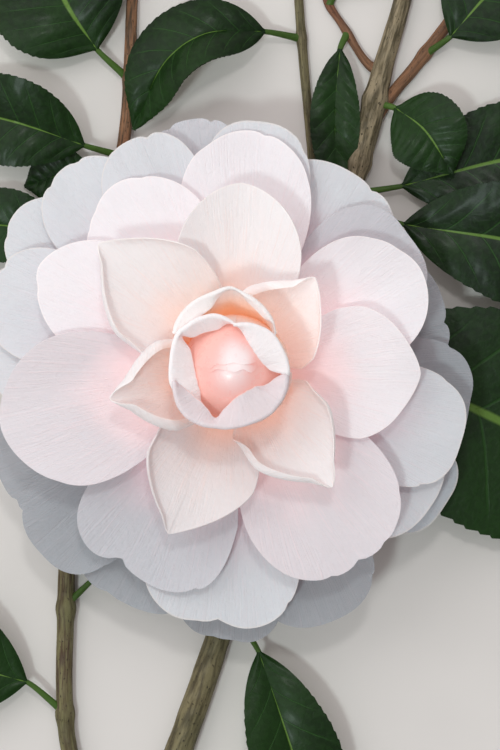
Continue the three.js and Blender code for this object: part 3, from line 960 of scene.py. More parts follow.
@dataclass(frozen=True)
class FloorFinish(Finish):
    """A plain pale floor."""

    tone: str

    PATCHES = 30.0
    SHADE = 0.97                         # brightness of its faint patches

    def dress(self, shop: SurfaceShop) -> None:
        """Adds the floor's tone and its faint patches.

        Args:
            shop: The material's nodes.
        """
        tone = paint(self.tone)
        shade = (*(v * self.SHADE for v in tone[:3]), 1.0)
        shop.finish(Base_Color=shop.blend(shop.mottle(self.PATCHES)["Broad"], tone, shade), Roughness=0.85)


# Petals

def cone_radius(height: float) -> float:
    """Radius of the receptacle's cone at a height."""
    return mix(CONE_FOOT_RADIUS, CONE_TOP_RADIUS, (height - CONE_FOOT) / (CONE_TOP - CONE_FOOT))


def dome_height(radius: np.ndarray) -> np.ndarray:
    """Height of the bud's dome at a distance from the axis."""
    return BUD_MIDDLE + BUD_HEIGHT * np.sqrt(np.maximum(1 - (radius / BUD_RADIUS) ** 2, 0))


def bud_reach(height: np.ndarray) -> np.ndarray:
    """Radius of the bud at a height."""
    tall = np.where(height > BUD_MIDDLE, BUD_HEIGHT, BUD_DEPTH)
    return BUD_RADIUS * np.sqrt(np.maximum(1 - ((height - BUD_MIDDLE) / tall) ** 2, 0))


@dataclass(frozen=True)
class Petal:
    """One open petal, by the same rule and sizes as its solid. What it doesn't state is the star's.

    az is the compass of its tip, anticlockwise from +X. reach and tip_z place the tip. level is
    its order of springing. rise and fall are its slopes at the foot and the tip in degrees. bend is
    the radius of its cross curve, point is 1 for a sharp tip and 0 for a round one, and left and
    right are how far its margins roll in, in degrees, over roll_width. fuller widens its left side
    by that share, lean turns it about its midrib in degrees, notch_at is where its notch stands
    beside the midrib, and nicks is how uneven its margin is. claw is its half width at the foot,
    waist how narrow it stays from there, and widest the share of its length where it is widest.
    """

    name: str
    az: float
    reach: float
    tip_z: float
    half: float
    level: float = 0.0
    rise: float = 30.0
    fall: float = 0.0
    bend: float = 45.0
    point: float = 0.0
    notch: float = 0.0
    notch_at: float = 0.0
    lean: float = 0.0
    fuller: float = 0.0
    left: float = 0.0
    right: float = 0.0
    roll_width: float = 3.0
    claw: float = 2.6
    waist: float = 1.15
    widest: float = 0.62
    nicks: float = 0.0
    ring: Ring = Ring.STAR
    # painted light or shade: which copy of its ring's finish the petal takes
    tone: Tone = Tone.USUAL
    seed: int = 400

    ROWS = 34
    COLS = 65
    HANDLE_SHARE = 0.36      # length of the midrib's handles, as a share of foot to tip
    ROW_CROWDING = 1.35      # rows of points stand closer towards the margin
    TIP_PART = 0.66          # share of the fan's lines that end on the tip's arc
    SIDE_END = 0.3           # where the last lines end, along the petal
    NOTCH_WIDTH = 0.13
    SLIT_WIDTH = 0.03        # of the slit in the middle of the notch
    LEAST_HALF_WIDTH = 0.6
    CROSS_STEPS = 24         # steps of the cross curve, from the midrib to the margin
    ROLL_PLACE = (0.3, 0.55)     # along the petal, where its margins begin to roll in and do so in full
    ROLL_SHARE = 0.75        # a rolled margin is at most this share of the half width
    ROLL_EASE = 0.4
    TIP_POWERS = (2.3, 1.45)     # of a round petal and of a pointed one
    SIDE_POWERS = (2.3, 1.05)
    FIRST_LEVEL = 0.5        # how far above the foot of the cone the lowest petals spring
    RIPPLE = 0.25            # height of the margin's ripples
    RIPPLES = 5.5

    def powers(self) -> tuple[float, float]:
        """The two powers that round the petal's end, or draw it to a point."""
        return mix(*self.TIP_POWERS, self.point), mix(*self.SIDE_POWERS, self.point)

    def half_width(self, t: np.ndarray) -> np.ndarray:
        """Half width of the petal.

        Args:
            t: Place along it, from 0 at the foot to 1 at the tip.

        Returns:
            Millimetres from the midrib to the margin.
        """
        tip_power, side_power = self.powers()
        near = np.sin(np.pi / 2 * np.clip(t / self.widest, 0, 1)) ** self.waist
        past = np.clip((t - self.widest) / (1 - self.widest), 0, 1)
        end = self.half * (1 - past ** tip_power) ** (1 / side_power)
        return np.where(t <= self.widest, self.claw + (self.half - self.claw) * near, end)

    def outline(self, s: np.ndarray) -> tuple[np.ndarray, np.ndarray]:
        """Where the lines of the fan end.

        Args:
            s: The lines, from -1 on the right side to 1 on the left.

        Returns:
            Each end's place along the petal, and its distance from the midrib.
        """
        tip_power, side_power = self.powers()
        side = np.abs(s)
        turn = np.clip(side / self.TIP_PART, 0, 1) * np.pi / 2
        round_t = mix(self.widest, 1.0, np.cos(turn) ** (2 / tip_power))
        round_y = self.half * np.sin(turn) ** (2 / side_power)
        side_t = mix(self.widest, self.SIDE_END, np.clip((side - self.TIP_PART) / (1 - self.TIP_PART), 0, 1))
        on_side = side > self.TIP_PART
        return (np.where(on_side, side_t, round_t),
                np.sign(s) * np.where(on_side, self.half_width(side_t), round_y))

    def dent(self, s: np.ndarray, uneven: Unevenness) -> np.ndarray:
        """How far the margin stands back: its notch, its scallops and its nicks.

        Args:
            s: The lines of the fan.
            uneven: The petal's noise.

        Returns:
            Millimetres along the petal.
        """
        off = np.abs(s - self.notch_at)
        gap = 0.5 * np.exp(-(off / self.NOTCH_WIDTH) ** 2) + 0.9 * np.exp(-off / self.SLIT_WIDTH)
        lobes = uneven.at(s * 3.5 + 8, s * 0 + 3.5)
        return self.notch * gap + self.nicks * (0.6 * lobes + 1.3 * (1 - np.abs(lobes)) ** 6)

    def midrib(self) -> Curve:
        """The line of the petal's middle, in its own upright plane.

        Returns:
            A curve of distance from the axis and height, from the receptacle to the tip.
        """
        foot_z = CONE_FOOT + self.FIRST_LEVEL + self.level * LEVEL_STEP
        foot = np.array([cone_radius(foot_z) + FOOT_CLEAR, foot_z])
        tip = np.array([self.reach, self.tip_z])
        handle = np.linalg.norm(tip - foot) * self.HANDLE_SHARE
        rise, fall = math.radians(self.rise), math.radians(self.fall)
        first = foot + handle * np.array([math.cos(rise), math.sin(rise)])
        second = tip - handle * np.array([math.cos(fall), math.sin(fall)])
        return Curve.bezier(tuple(foot), tuple(first), tuple(second), tuple(tip))

    def cross(self, y: np.ndarray, width: np.ndarray, t: np.ndarray) -> tuple[np.ndarray, np.ndarray]:
        """The petal's cross curve, followed from the midrib outwards.

        Args:
            y: Distance along the curve, positive on the left.
            width: Half width of the petal.
            t: Place along the petal.

        Returns:
            How far each point lies beside the midrib, and how high above it.
        """
        roll = np.radians(np.where(y > 0, self.left, self.right)) * smooth(*self.ROLL_PLACE, t)
        roll_width = np.minimum(self.roll_width, width * self.ROLL_SHARE)
        across, up = np.zeros_like(y), np.zeros_like(y)
        for k in range(self.CROSS_STEPS):
            here = np.abs(y) * (k + 0.5) / self.CROSS_STEPS
            curl = np.clip((here - (width - roll_width)) / (roll_width + self.ROLL_EASE), 0, 1)
            slope = here / self.bend + roll * curl * curl * (3 - 2 * curl)
            across += np.cos(slope) * np.abs(y) / self.CROSS_STEPS
            up += np.sin(slope) * np.abs(y) / self.CROSS_STEPS
        return across, up

    def skin(self) -> Skin:
        """The petal's closed surface.

        Returns:
            A sheet thinner at its margin than at its foot.
        """
        rib = self.midrib()
        uneven = Unevenness(self.seed)
        u = (1 - (1 - np.linspace(0, 1, self.ROWS)) ** self.ROW_CROWDING)[:, None]
        s = np.linspace(-1, 1, self.COLS)[None, :]
        end_t, end_y = self.outline(s)
        ray = np.arctan2(end_y, end_t * rib.length)
        ray = ray / np.abs(ray).max()
        t = u * (end_t - self.dent(s, uneven) / rib.length)
        swell = np.where(s > 0, 1 + self.fuller * u, 1.0)
        y = mix(self.claw * s, end_y, u) * swell
        width = np.maximum(self.half_width(np.clip(t, 0, 1)), self.LEAST_HALF_WIDTH) * swell
        across, up = self.cross(y, width, t)

        spot, way = rib.at(t), rib.tangent(t)
        lean = np.radians(self.lean) * np.clip(t, 0, 1)
        ripple = self.RIPPLE * np.sin(self.RIPPLES * s + self.az) * smooth(0.55, 1.0, t)
        pleats = 0.3 * uneven.at(ray * 3 + 8, u * 3) + 0.06 * uneven.at(ray * 11 + 8, u * 2)
        ripple = ripple + pleats * smooth(0.2, 0.8, t)
        rise = up * np.cos(lean) + np.sign(y) * across * np.sin(lean) + ripple
        grid = swung(spot[..., 0] - way[..., 1] * rise, np.sign(y) * across * np.cos(lean),
                     spot[..., 1] + way[..., 0] * rise, self.az)
        rim = np.maximum(u, smooth(0.8, 1.0, np.abs(s)))
        half = mix(PETAL_FOOT_HALF, PETAL_RIM_HALF, smooth(0.45, 1.0, rim))
        return Skin.sheet(grid, half, pattern(u, (ray + 1) / 2))


@dataclass(frozen=True)
class SecondPetal(Petal):
    """A petal of the second ring."""

    rise: float = 36.0
    fall: float = -2.0
    bend: float = 52.0
    claw: float = 2.2
    waist: float = 1.3
    widest: float = 0.66
    nicks: float = 0.45
    ring: Ring = Ring.SECOND
    seed: int = 600


@dataclass(frozen=True)
class ThirdPetal(Petal):
    """A petal of the third ring."""

    rise: float = 26.0
    fall: float = -6.0
    bend: float = 75.0
    claw: float = 2.0
    waist: float = 1.5
    widest: float = 0.72
    nicks: float = 0.7
    ring: Ring = Ring.THIRD
    seed: int = 500


@dataclass(frozen=True)
class OuterPetal(Petal):
    """A petal of the outer ring, which lies lowest."""

    rise: float = 14.0
    fall: float = -10.0
    bend: float = 90.0
    claw: float = 2.0
    waist: float = 1.5
    widest: float = 0.74
    nicks: float = 0.85
    ring: Ring = Ring.OUTER
    seed: int = 500


@dataclass(frozen=True)
class FoldedPetal:
    """A petal that stands up round the heart with both its margins folded in over it.

    folds gives the radius of the fold line by compass, from the petal's right end to its left one,
    and margins the radius that the folded margin reaches. The two folded margins meet at tip_az.
    The fold is fold_z high and end_drop lower at its ends, and the margins sink from it. The wall
    stays clear of the bud by the distance of that name, and flare is 1 where it leans straight out.
    """

    name: str
    tip_az: float
    folds: tuple[tuple[float, float], ...]
    margins: tuple[tuple[float, float], ...]
    foot: tuple[float, float]
    fold_z: float
    end_drop: float = 0.0
    sink: float = 0.0
    flare: float = 0.0
    clear: float = 0.9
    seed: int = 1

    WALL_ROWS = 24
    FOLD_ROWS = 6
    FLAP_ROWS = 14
    COLS = 121
    CROWN = 0.38             # radius of the rounded fold
    CROWN_SHARE = 0.42       # and at most this share of what is folded in
    CROWN_TURN = (0.1, 0.62)     # the stretch of a half turn that the fold covers
    CROWN_RISE = 0.8
    CROWN_END = (1.37, 0.75)     # how many of its radii inwards and upwards the fold ends
    WALL_PATTERN = (0.1, 0.72)   # places of the wall and of the rest on the pattern
    FLAP_PATTERN = (0.73, 1.0)
    THICK_HALF = 0.16
    ABOVE_BUD = 0.28         # from the bud to the middle of a margin that lies on it

    def wall(self, fold: np.ndarray, top: np.ndarray) -> list[np.ndarray]:
        """The part that stands, from the petal's foot to its fold.

        Args:
            fold: Radius of the fold, for each line of points.
            top: Its height.

        Returns:
            Rows of radius and height.
        """
        rows = []
        for w in np.linspace(0, 1, self.WALL_ROWS):
            out = mix(math.sin(math.pi / 2 * w) ** 0.85, w, self.flare)
            height = mix(self.foot[1], top, w ** mix(1.25, 1.0, self.flare))
            r = mix(self.foot[0], fold, out)
            rows.append(np.stack([np.maximum(r, bud_reach(height) + self.clear), height], -1))
        return rows

    def flap(self, fold: np.ndarray, margin: np.ndarray, top: np.ndarray) -> list[np.ndarray]:
        """The rounded fold and the part that is folded in, as far as the margin.

        Args:
            fold: Radius of the fold, for each line of points.
            margin: Radius of the margin.
            top: Height of the fold.

        Returns:
            Rows of radius and height.
        """
        rows = []
        crown = np.minimum(self.CROWN, (fold - margin) * self.CROWN_SHARE)
        for turn in np.linspace(*self.CROWN_TURN, self.FOLD_ROWS) * math.pi:
            r = fold - crown * (1 - math.cos(turn))
            rows.append(np.stack([r, top + self.CROWN_RISE * crown * math.sin(turn)], -1))
        landing = np.maximum(dome_height(margin) + self.ABOVE_BUD, top - self.sink)
        inwards, upwards = self.CROWN_END
        for w in np.linspace(0, 1, self.FLAP_ROWS)[1:]:
            r = mix(fold - inwards * crown, margin, w)
            height = mix(top + upwards * crown, landing, w) + 0.35 * (1 - w) * w * crown
            rows.append(np.stack([r, np.maximum(height, dome_height(r) + self.ABOVE_BUD)], -1))
        return rows

    def skin(self) -> Skin:
        """The petal's closed surface.

        Returns:
            A sheet thinner at its margin than at its foot.
        """
        ends = self.folds[0][0], self.folds[-1][0]
        az = np.linspace(*ends, self.COLS)
        uneven = Unevenness(self.seed)
        fold = self.radii(self.folds, az) + 0.06 * uneven.at(az / 10.0, az * 0 + 6.5)
        margin = self.radii(self.margins, az) + 0.12 * uneven.at(az / 7.0, az * 0 + 2.5)
        margin = np.minimum(margin, fold - 0.12)
        share = np.where(az > self.tip_az, (az - self.tip_az) / (ends[1] - self.tip_az),
                         (self.tip_az - az) / (self.tip_az - ends[0]))
        top = self.fold_z - self.end_drop * share ** 2
        profile = np.stack(self.wall(fold, top) + self.flap(fold, margin, top))
        turn = np.radians(az)[None, :]
        out = profile[..., 0] + 0.08 * uneven.at(az[None, :] / 12.0, profile[..., 1] / 4.0)
        grid = np.stack([out * np.cos(turn), out * np.sin(turn), profile[..., 1]], -1)
        wall_u = np.linspace(*self.WALL_PATTERN, self.WALL_ROWS)
        flap_u = np.linspace(*self.FLAP_PATTERN, len(profile) - self.WALL_ROWS)
        u = np.concatenate([wall_u, flap_u])[:, None] + 0 * turn
        half = mix(self.THICK_HALF, PETAL_RIM_HALF * 0.8, smooth(0.8, 1.0, u))
        return Skin.sheet(grid, half, pattern(u, (az - az[0])[None, :] / (az[-1] - az[0])))

    @staticmethod
    def radii(marks: tuple[tuple[float, float], ...], az: np.ndarray) -> np.ndarray:
        """Radii read off a smooth line through marks of compass and radius."""
        line = Curve.through([(a, r, 0.0) for a, r in marks]).points
        return np.interp(az, line[:, 0], line[:, 1])


@dataclass(frozen=True)
class BudScale:
    """One of the innermost petals, which lies on the dome of the bud and ends in a wavy lip.

    spread is how wide it is in degrees, lift how high it stands off the bud, end how far from the
    top its lip lies, and pale how strongly a painted highlight whitens the middle of its lip.
    """

    az: float
    lift: float
    end: float
    spread: float
    seed: int
    pale: float

    ROWS = 30
    COLS = 37
    FOOT_TURN = 118.0        # degrees from the bud's top to the foot
    CURL = 0.35              # how much higher the middle of the lip stands
    HALF_AT_FOOT = 0.12
    HALF_AT_LIP = 0.05
    PATTERN_TOP = 0.86       # place on the pattern at the bud's top and at the foot
    PATTERN_FOOT = 0.3
    PATTERN_HIGHLIGHT = 0.97      # and where the painted highlight is, near white

    @classmethod
    def shade(cls, lean: np.ndarray) -> np.ndarray:
        """Place on the pattern by the share of the way from top to foot; the pale top is partly painted
        light.
        """
        return mix(cls.PATTERN_TOP, cls.PATTERN_FOOT, lean)

    def skin(self) -> Skin:
        """The scale's closed surface.

        Returns:
            A thin sheet on the bud.
        """
        uneven = Unevenness(self.seed)
        v = np.linspace(-1, 1, self.COLS)[None, :]
        u = np.linspace(0, 1, self.ROWS)[:, None]
        lip = self.end + 4.0 * uneven.at(v * 6 + 8, v * 0 + 1.5) + 7.0 * np.abs(v) ** 2.4
        down = np.radians(mix(self.FOOT_TURN, lip, u))
        wide = np.radians(self.spread * v * (1 - 0.35 * u ** 3))
        x, y, z = np.sin(down) * np.cos(wide), np.sin(wide), np.cos(down) * np.cos(wide)
        curl = smooth(0.86, 1.0, u) * (1 - smooth(0.3, 0.6, np.abs(v)))
        lift = self.lift * smooth(0.0, 0.7, u) + self.CURL * curl
        swell = 1 + (lift + 0.08 * uneven.at(v * 2 + 5, u * 3)) / BUD_RADIUS
        tall = np.where(z < 0, BUD_DEPTH, BUD_HEIGHT)
        grid = swung(x * BUD_RADIUS * swell, y * BUD_RADIUS * swell,
                     BUD_MIDDLE + z * tall * (1 + (swell - 1) * 0.6), self.az)
        half = mix(self.HALF_AT_FOOT, self.HALF_AT_LIP, smooth(0.6, 1.0, u + 0 * v))
        lean = np.degrees(np.arccos(np.clip(z, -1, 1))) / self.FOOT_TURN
        # Painted highlight: the middle of the lip is whitened where the light from above catches the bud
        lit = self.pale * smooth(0.6, 0.98, u) * (1 - smooth(0.0, 0.42, np.abs(v + 0.08)))
        return Skin.sheet(grid, half, pattern(mix(self.shade(lean), self.PATTERN_HIGHLIGHT, lit), (v + 1) / 2))


@dataclass(frozen=True)
class Bud:
    """The closed heart of the bloom: its dome, its innermost petals and the wraps folded over it."""

    dome_rows: int = 26
    dome_sides: int = 48
    neck_radius: float = 2.6
    neck_foot: float = CONE_TOP - 0.2
    scales: tuple[BudScale, ...] = (
        BudScale(az=262, lift=0.04, end=-12, spread=84, seed=11, pale=0.45),
        BudScale(az=90, lift=0.18, end=-1, spread=80, seed=12, pale=0.7),
        BudScale(az=97, lift=0.34, end=5, spread=80, seed=13, pale=1.0),
    )
    wraps: tuple[FoldedPetal, ...] = (
        FoldedPetal("wrap_upper_left", 147,
                    ((88, 8.1), (101, 9.7), (111, 10.7), (125, 11.4), (137, 11.8), (147, 12.3), (163, 11.9),
                     (178, 11.6), (193, 11.6), (207, 10.8), (224, 9.2)),
                    ((88, 7.9), (98, 8.5), (111, 7.9), (130, 8.7), (143, 9.8), (147, 11.2), (155, 8.9),
                     (169, 7.6), (190, 6.9), (212, 7.3), (224, 8.4)),
                    foot=(2.2, 25.0), fold_z=48.3, end_drop=0.9, sink=1.6, clear=0.6, seed=21),
        FoldedPetal("wrap_right", -4,
                    ((-24, 9.2), (-4, 9.8), (9, 9.6), (25, 9.35), (42, 9.4), (60, 9.1), (75, 8.7), (91, 8.1)),
                    ((-24, 8.9), (-5, 8.9), (-2, 7.0), (9, 5.4), (38, 4.7), (66, 5.65), (85, 7.7), (91, 7.9)),
                    foot=(2.2, 25.0), fold_z=48.9, end_drop=0.3, sink=0.8, clear=0.55, seed=22),
        FoldedPetal("wrap_lower", 250,
                    ((190, 11.3), (209, 11.9), (223, 12.0), (236, 11.6), (250, 11.05), (265, 10.5),
                     (287, 10.1), (309, 10.1), (327, 10.1), (342, 10.0), (358, 9.75)),
                    ((190, 10.9), (202, 9.35), (222, 8.3), (236, 8.45), (250, 9.2), (255, 7.4), (266, 5.6),
                     (286, 4.5), (301, 4.4), (317, 4.5), (326, 5.2), (335, 6.35), (349, 7.6), (358, 9.3)),
                    foot=(2.2, 25.0), fold_z=48.9, sink=1.0, seed=23),
    )

    def dome(self) -> Skin:
        """The egg on its short neck, under the innermost petals.

        Returns:
            Its closed surface.
        """
        rings = [(self.neck_radius, self.neck_foot)]
        turns = np.linspace(0.12, 0.985, self.dome_rows) * math.pi
        for turn in turns:
            height = BUD_HEIGHT if turn > math.pi / 2 else BUD_DEPTH
            least = self.neck_radius if turn < 1 else 0.0
            rings.append((max(BUD_RADIUS * math.sin(turn), least), BUD_MIDDLE - math.cos(turn) * height))
        along = BudScale.shade(np.degrees(math.pi - turns) / BudScale.FOOT_TURN)
        return Skin.limb(revolved(np.array(rings), self.dome_sides), np.concatenate([[0.0], along]))

    def build(self, place: Frame, bud: Material, wraps: list[Material]) -> None:
        """Makes the bud.

        Args:
            place: Where the branch lies.
            bud: Finish of the dome and of the innermost petals.
            wraps: Finish of each wrap.
        """
        skins = [Skin.joined([self.dome(), *(scale.skin() for scale in self.scales)])]
        skins += [petal.skin().finished(number) for number, petal in enumerate(self.wraps, 1)]
        place.piece("bud_with_wraps", Skin.joined(skins), [bud, *wraps], Slot.BUD, "bud")


@dataclass(frozen=True)
class Calyx:
    """The receptacle's cone and the sepals that cup it, every second one an outer one."""

    sepals: int = 7
    first_turn: float = 0.3
    sepal_half: float = 4.4
    sepal_foot: float = 2.0
    sepal_reach: float = 8.3
    sepal_half_thick: float = 0.2
    overlap: float = 0.28    # an inner sepal lies this much higher
    cone_sides: int = 40

    def cone(self) -> Skin:
        """The receptacle, which the petals spring from.

        Returns:
            Its closed surface.
        """
        profile = np.array([
            [2.2, RECEPTACLE_FOOT], [5.2, RECEPTACLE_FOOT + 0.35], [6.6, RECEPTACLE_FOOT + 0.9],
            [CONE_FOOT_RADIUS, CONE_FOOT], [CONE_TOP_RADIUS, CONE_TOP - 0.4],
            [CONE_TOP_RADIUS - 0.5, CONE_TOP]])
        return Skin.limb(revolved(profile, self.cone_sides), np.linspace(0.0, 0.5, len(profile)))

    def sepal(self, number: int) -> Skin:
        """One sepal.

        Args:
            number: Its place round the calyx.

        Returns:
            Its closed surface.
        """
        turn = 2 * math.pi * number / self.sepals + self.first_turn
        u, v = np.linspace(0, 1, 14)[:, None], np.linspace(-1, 1, 15)[None, :]
        width = self.sepal_half * np.sin(np.pi * (0.12 + 0.8 * u)) ** 0.55 * v
        out = mix(self.sepal_foot, self.sepal_reach, u - 0.16 * u * v * v)
        low = RECEPTACLE_FOOT + 0.25 + self.overlap * (1 - number % 2)
        height = low + 1.9 * u ** 2.6 + 0.6 * v * v * u
        angle = width / np.maximum(out, 3.0)
        grid = np.stack([out * np.cos(angle + turn), out * np.sin(angle + turn), height], -1)
        return Skin.sheet(grid, np.full(grid.shape[:2], self.sepal_half_thick), pattern(u, (v + 1) / 2))

    def build(self, place: Frame, green: Material, pale: Material) -> None:
        """Makes the calyx.

        Args:
            place: Where the branch lies.
            green: Finish of the sepals.
            pale: Finish of the receptacle, which is as pale as the petals that spring from it.
        """
        skins = [self.cone().finished(1), *(self.sepal(i) for i in range(self.sepals))]
        place.piece("calyx_with_sepals", Skin.joined(skins), [green, pale], Slot.CALYX, "calyx")


@dataclass(frozen=True)
class Bloom:
    """Every petal outside the bud."""

    cup: FoldedPetal = FoldedPetal(
        "cup_petal_top", 91,
        ((41, 9.8), (52, 11.3), (63, 12.4), (75, 13.4), (86, 14.3), (93, 15.0), (107, 14.5), (118, 14.4),
         (130, 14.2), (141, 13.7), (149, 13.0)),
        ((41, 9.6), (49, 10.8), (60, 10.85), (71, 11.5), (79, 12.5), (86, 13.9), (93, 14.4), (103, 13.3),
         (110, 12.0), (122, 11.5), (136, 11.4), (149, 12.6)),
        foot=(4.4, 22.4), fold_z=45.8, end_drop=0.8, sink=0.7, flare=1.0, seed=31)
    star: tuple[Petal, ...] = (
        Petal("petal_star_1", 49, 22.5, 38.5, 11.5, level=11, rise=46, fall=22, bend=15, point=1, left=150,
              right=40, roll_width=3.8, tone=Tone.PALE),
        Petal("petal_star_2", -50, 28.0, 37.5, 11.5, level=11, rise=46, fall=10, bend=17, point=1, left=85,
              right=150, roll_width=3.4),
        Petal("petal_star_3", 248, 32.8, 33.5, 11.0, level=10, rise=44, fall=4, bend=22, point=1, left=10,
              right=110, roll_width=2.4, fuller=0.13, tone=Tone.DIM),
        Petal("petal_star_4", 193, 23.2, 40.0, 12.0, level=12, rise=46, fall=34, bend=12.5, point=1, left=140,
              right=130, roll_width=4),
        Petal("petal_star_5", 137, 34.4, 35.5, 12.5, level=11, rise=45, fall=6, bend=20, point=1, left=115,
              right=30, roll_width=3.2),
        Petal("petal_star_6", 88, 34.8, 32.5, 12.0, level=10, rise=44, fall=-2, bend=26, point=0.55),
    )
    second: tuple[SecondPetal, ...] = (
        SecondPetal("petal_second_1", -1, 34.8, 30.0, 12.5, level=8, point=0.7, lean=3),
        SecondPetal("petal_second_2", 194, 45.2, 29.8, 14.5, level=9, point=0.5, lean=-3, tone=Tone.DIM),
        SecondPetal("petal_second_3", 303, 43.6, 27.5, 15.0, level=7, notch=1.0, point=0.1, tone=Tone.DIM),
        SecondPetal("petal_second_4", 28.6, 39.8, 27.5, 12.5, level=7, point=0.4),
        SecondPetal("petal_second_5", 86.5, 45.6, 23.4, 12.5, level=6, point=0.2, bend=90),
        SecondPetal("petal_second_6", 123, 41.7, 25.4, 12.0, level=7, point=0.3, bend=90),
        SecondPetal("petal_second_7", 152, 41.5, 28.2, 11.0, level=8, point=0.5, bend=90),
    )
    third: tuple[ThirdPetal, ...] = (
        ThirdPetal("petal_third_1", 243, 44.5, 23.5, 15.0, level=5, notch=1.8, notch_at=-0.07, tone=Tone.DIM),
        ThirdPetal("petal_third_2", 266, 49.5, 20.5, 15.0, level=4, notch=1.0),
        ThirdPetal("petal_third_3", 324.6, 45.7, 21.0, 12.0, level=4),
        ThirdPetal("petal_third_4", 342, 45.2, 23.5, 11.5, level=5),
        ThirdPetal("petal_third_5", 38, 42.3, 22.5, 12.0, level=4, tone=Tone.DIM),
        ThirdPetal("petal_third_6", 59, 44.0, 19.5, 13.5, level=3),
        ThirdPetal("petal_third_7", 84, 47.6, 21.5, 10.5, level=4),
        ThirdPetal("petal_third_8", 100.4, 49, 18.8, 9.7, level=2.6, tone=Tone.DIM),
        ThirdPetal("petal_third_9", 114, 48.2, 22.6, 10.0, level=5),
        ThirdPetal("petal_third_10", 131, 50.8, 20.2, 10.5, level=4),
        ThirdPetal("petal_third_11", 145, 52.0, 18.2, 10.0, level=3),
        ThirdPetal("petal_third_12", 161.5, 49.3, 21.7, 11.1, level=5),
        ThirdPetal("petal_third_13", 175.2, 47.7, 20.3, 10.9, level=4.8),
    )
    outer: tuple[OuterPetal, ...] = (
        OuterPetal("petal_outer_1", 244, 50.4, 15.5, 13.0, level=1, tone=Tone.DIM),
        OuterPetal("petal_outer_2", 268.6, 52.9, 13.5, 11.0, level=0, tone=Tone.DIM),
        OuterPetal("petal_outer_3", 291, 52.0, 16.2, 12.0, level=1, tone=Tone.DIM),
        OuterPetal("petal_outer_4", 327.2, 48.4, 14.9, 10.7, level=0.3),
        OuterPetal("petal_outer_5", 351.5, 46.2, 17.0, 11.5, level=1.3, tone=Tone.DIM),
        OuterPetal("petal_outer_6", 18.5, 42.4, 16.0, 11.5, level=0.3, tone=Tone.DIM),
        OuterPetal("petal_outer_7", 223, 51.4, 17.0, 11.0, level=2, tone=Tone.DIM),
        OuterPetal("petal_outer_8", 205, 50.4, 14.0, 11.5, level=0.3, tone=Tone.DIM),
        OuterPetal("petal_outer_9", 124.6, 48.9, 14.5, 10.5, level=0.1),
    )

    def build(self, place: Frame, cup: Material, petals: dict[tuple[Ring, Tone], Material]) -> None:
        """Makes every petal.

        Args:
            place: Where the branch lies.
            cup: Finish of the petal that cups the bud.
            petals: Finish of the others, by ring and tone.
        """
        place.piece("cup_petal_top", self.cup.skin(), [cup], Slot.PETAL, "petal_cup_top")
        for ring in (self.star, self.second, self.third, self.outer):
            for number, petal in enumerate(ring):
                skin = replace(petal, seed=petal.seed + number).skin()
                finish = petals[petal.ring, petal.tone]
                place.piece("fine_" + petal.name, skin, [finish], Slot.PETAL, petal.name)


# Stems

def lying(x: float, y: float, radius: float) -> tuple[float, float, float, float]:
    """A station of a stem that lies on the ground."""
    return (x, y, radius, radius)


@dataclass(frozen=True)
class Stem:
    """One woody stem through stations of x, y, height of its middle and radius.

    swellings are its nodes, in millimetres along it, and collar is how much wider its foot is.
    """

    name: str
    stations: tuple[tuple[float, float, float, float], ...]
    kind: Bark = Bark.OLD
    swellings: tuple[float, ...] = ()
    collar: float = 0.0
    sides: int = 24
    seed: int = 1

    RING_STEP = 0.7
    RELIEF = 0.055           # depth of the bark's relief as a share of the radius
    SWELLING = 0.22
    SWELLING_LENGTH = 1.6
    COLLAR_LENGTH = 4.0
    RELIEF_LENGTH = 5.5      # of the broad relief and the fine one
    FINE_LENGTH = 1.7
    RIDGES = 12              # values of the relief round the stem

    def skin(self) -> Skin:
        """The stem's closed surface.

        Returns:
            A tube with the relief of its bark.
        """
        curve = Curve.through(list(self.stations))
        centres = np.array([s[:3] for s in self.stations], float)
        marks = np.concatenate([[0.0], np.cumsum(np.linalg.norm(np.diff(centres, axis=0), axis=1))])
        t = np.linspace(0, 1, int(curve.length / self.RING_STEP) + 2)
        radius = np.interp(t * marks[-1], marks, [s[3] for s in self.stations])
        along = t * curve.length
        for at in self.swellings:
            radius = radius * (1 + self.SWELLING * np.exp(-((along - at) / self.SWELLING_LENGTH) ** 2))
        radius = radius * (1 + self.collar * np.exp(-(along / self.COLLAR_LENGTH) ** 2))
        uneven = Unevenness(self.seed, around=self.RIDGES, along=256)
        k = np.arange(self.sides)[None, :] * self.RIDGES / self.sides
        a = along[:, None]
        relief = 0.6 * uneven.at(k, a / self.RELIEF_LENGTH)
        relief = relief + 0.4 * uneven.at(k + 0.5, a / self.FINE_LENGTH + 30)
        depth = self.RELIEF * relief * smooth(0.0, 1.0, a) * smooth(0.0, 1.0, along[-1] - a)
        shape = radius[:, None] * (1 + depth)
        return Skin.limb(rings_round(curve, t, shape, shape, self.sides), along, ends=1)


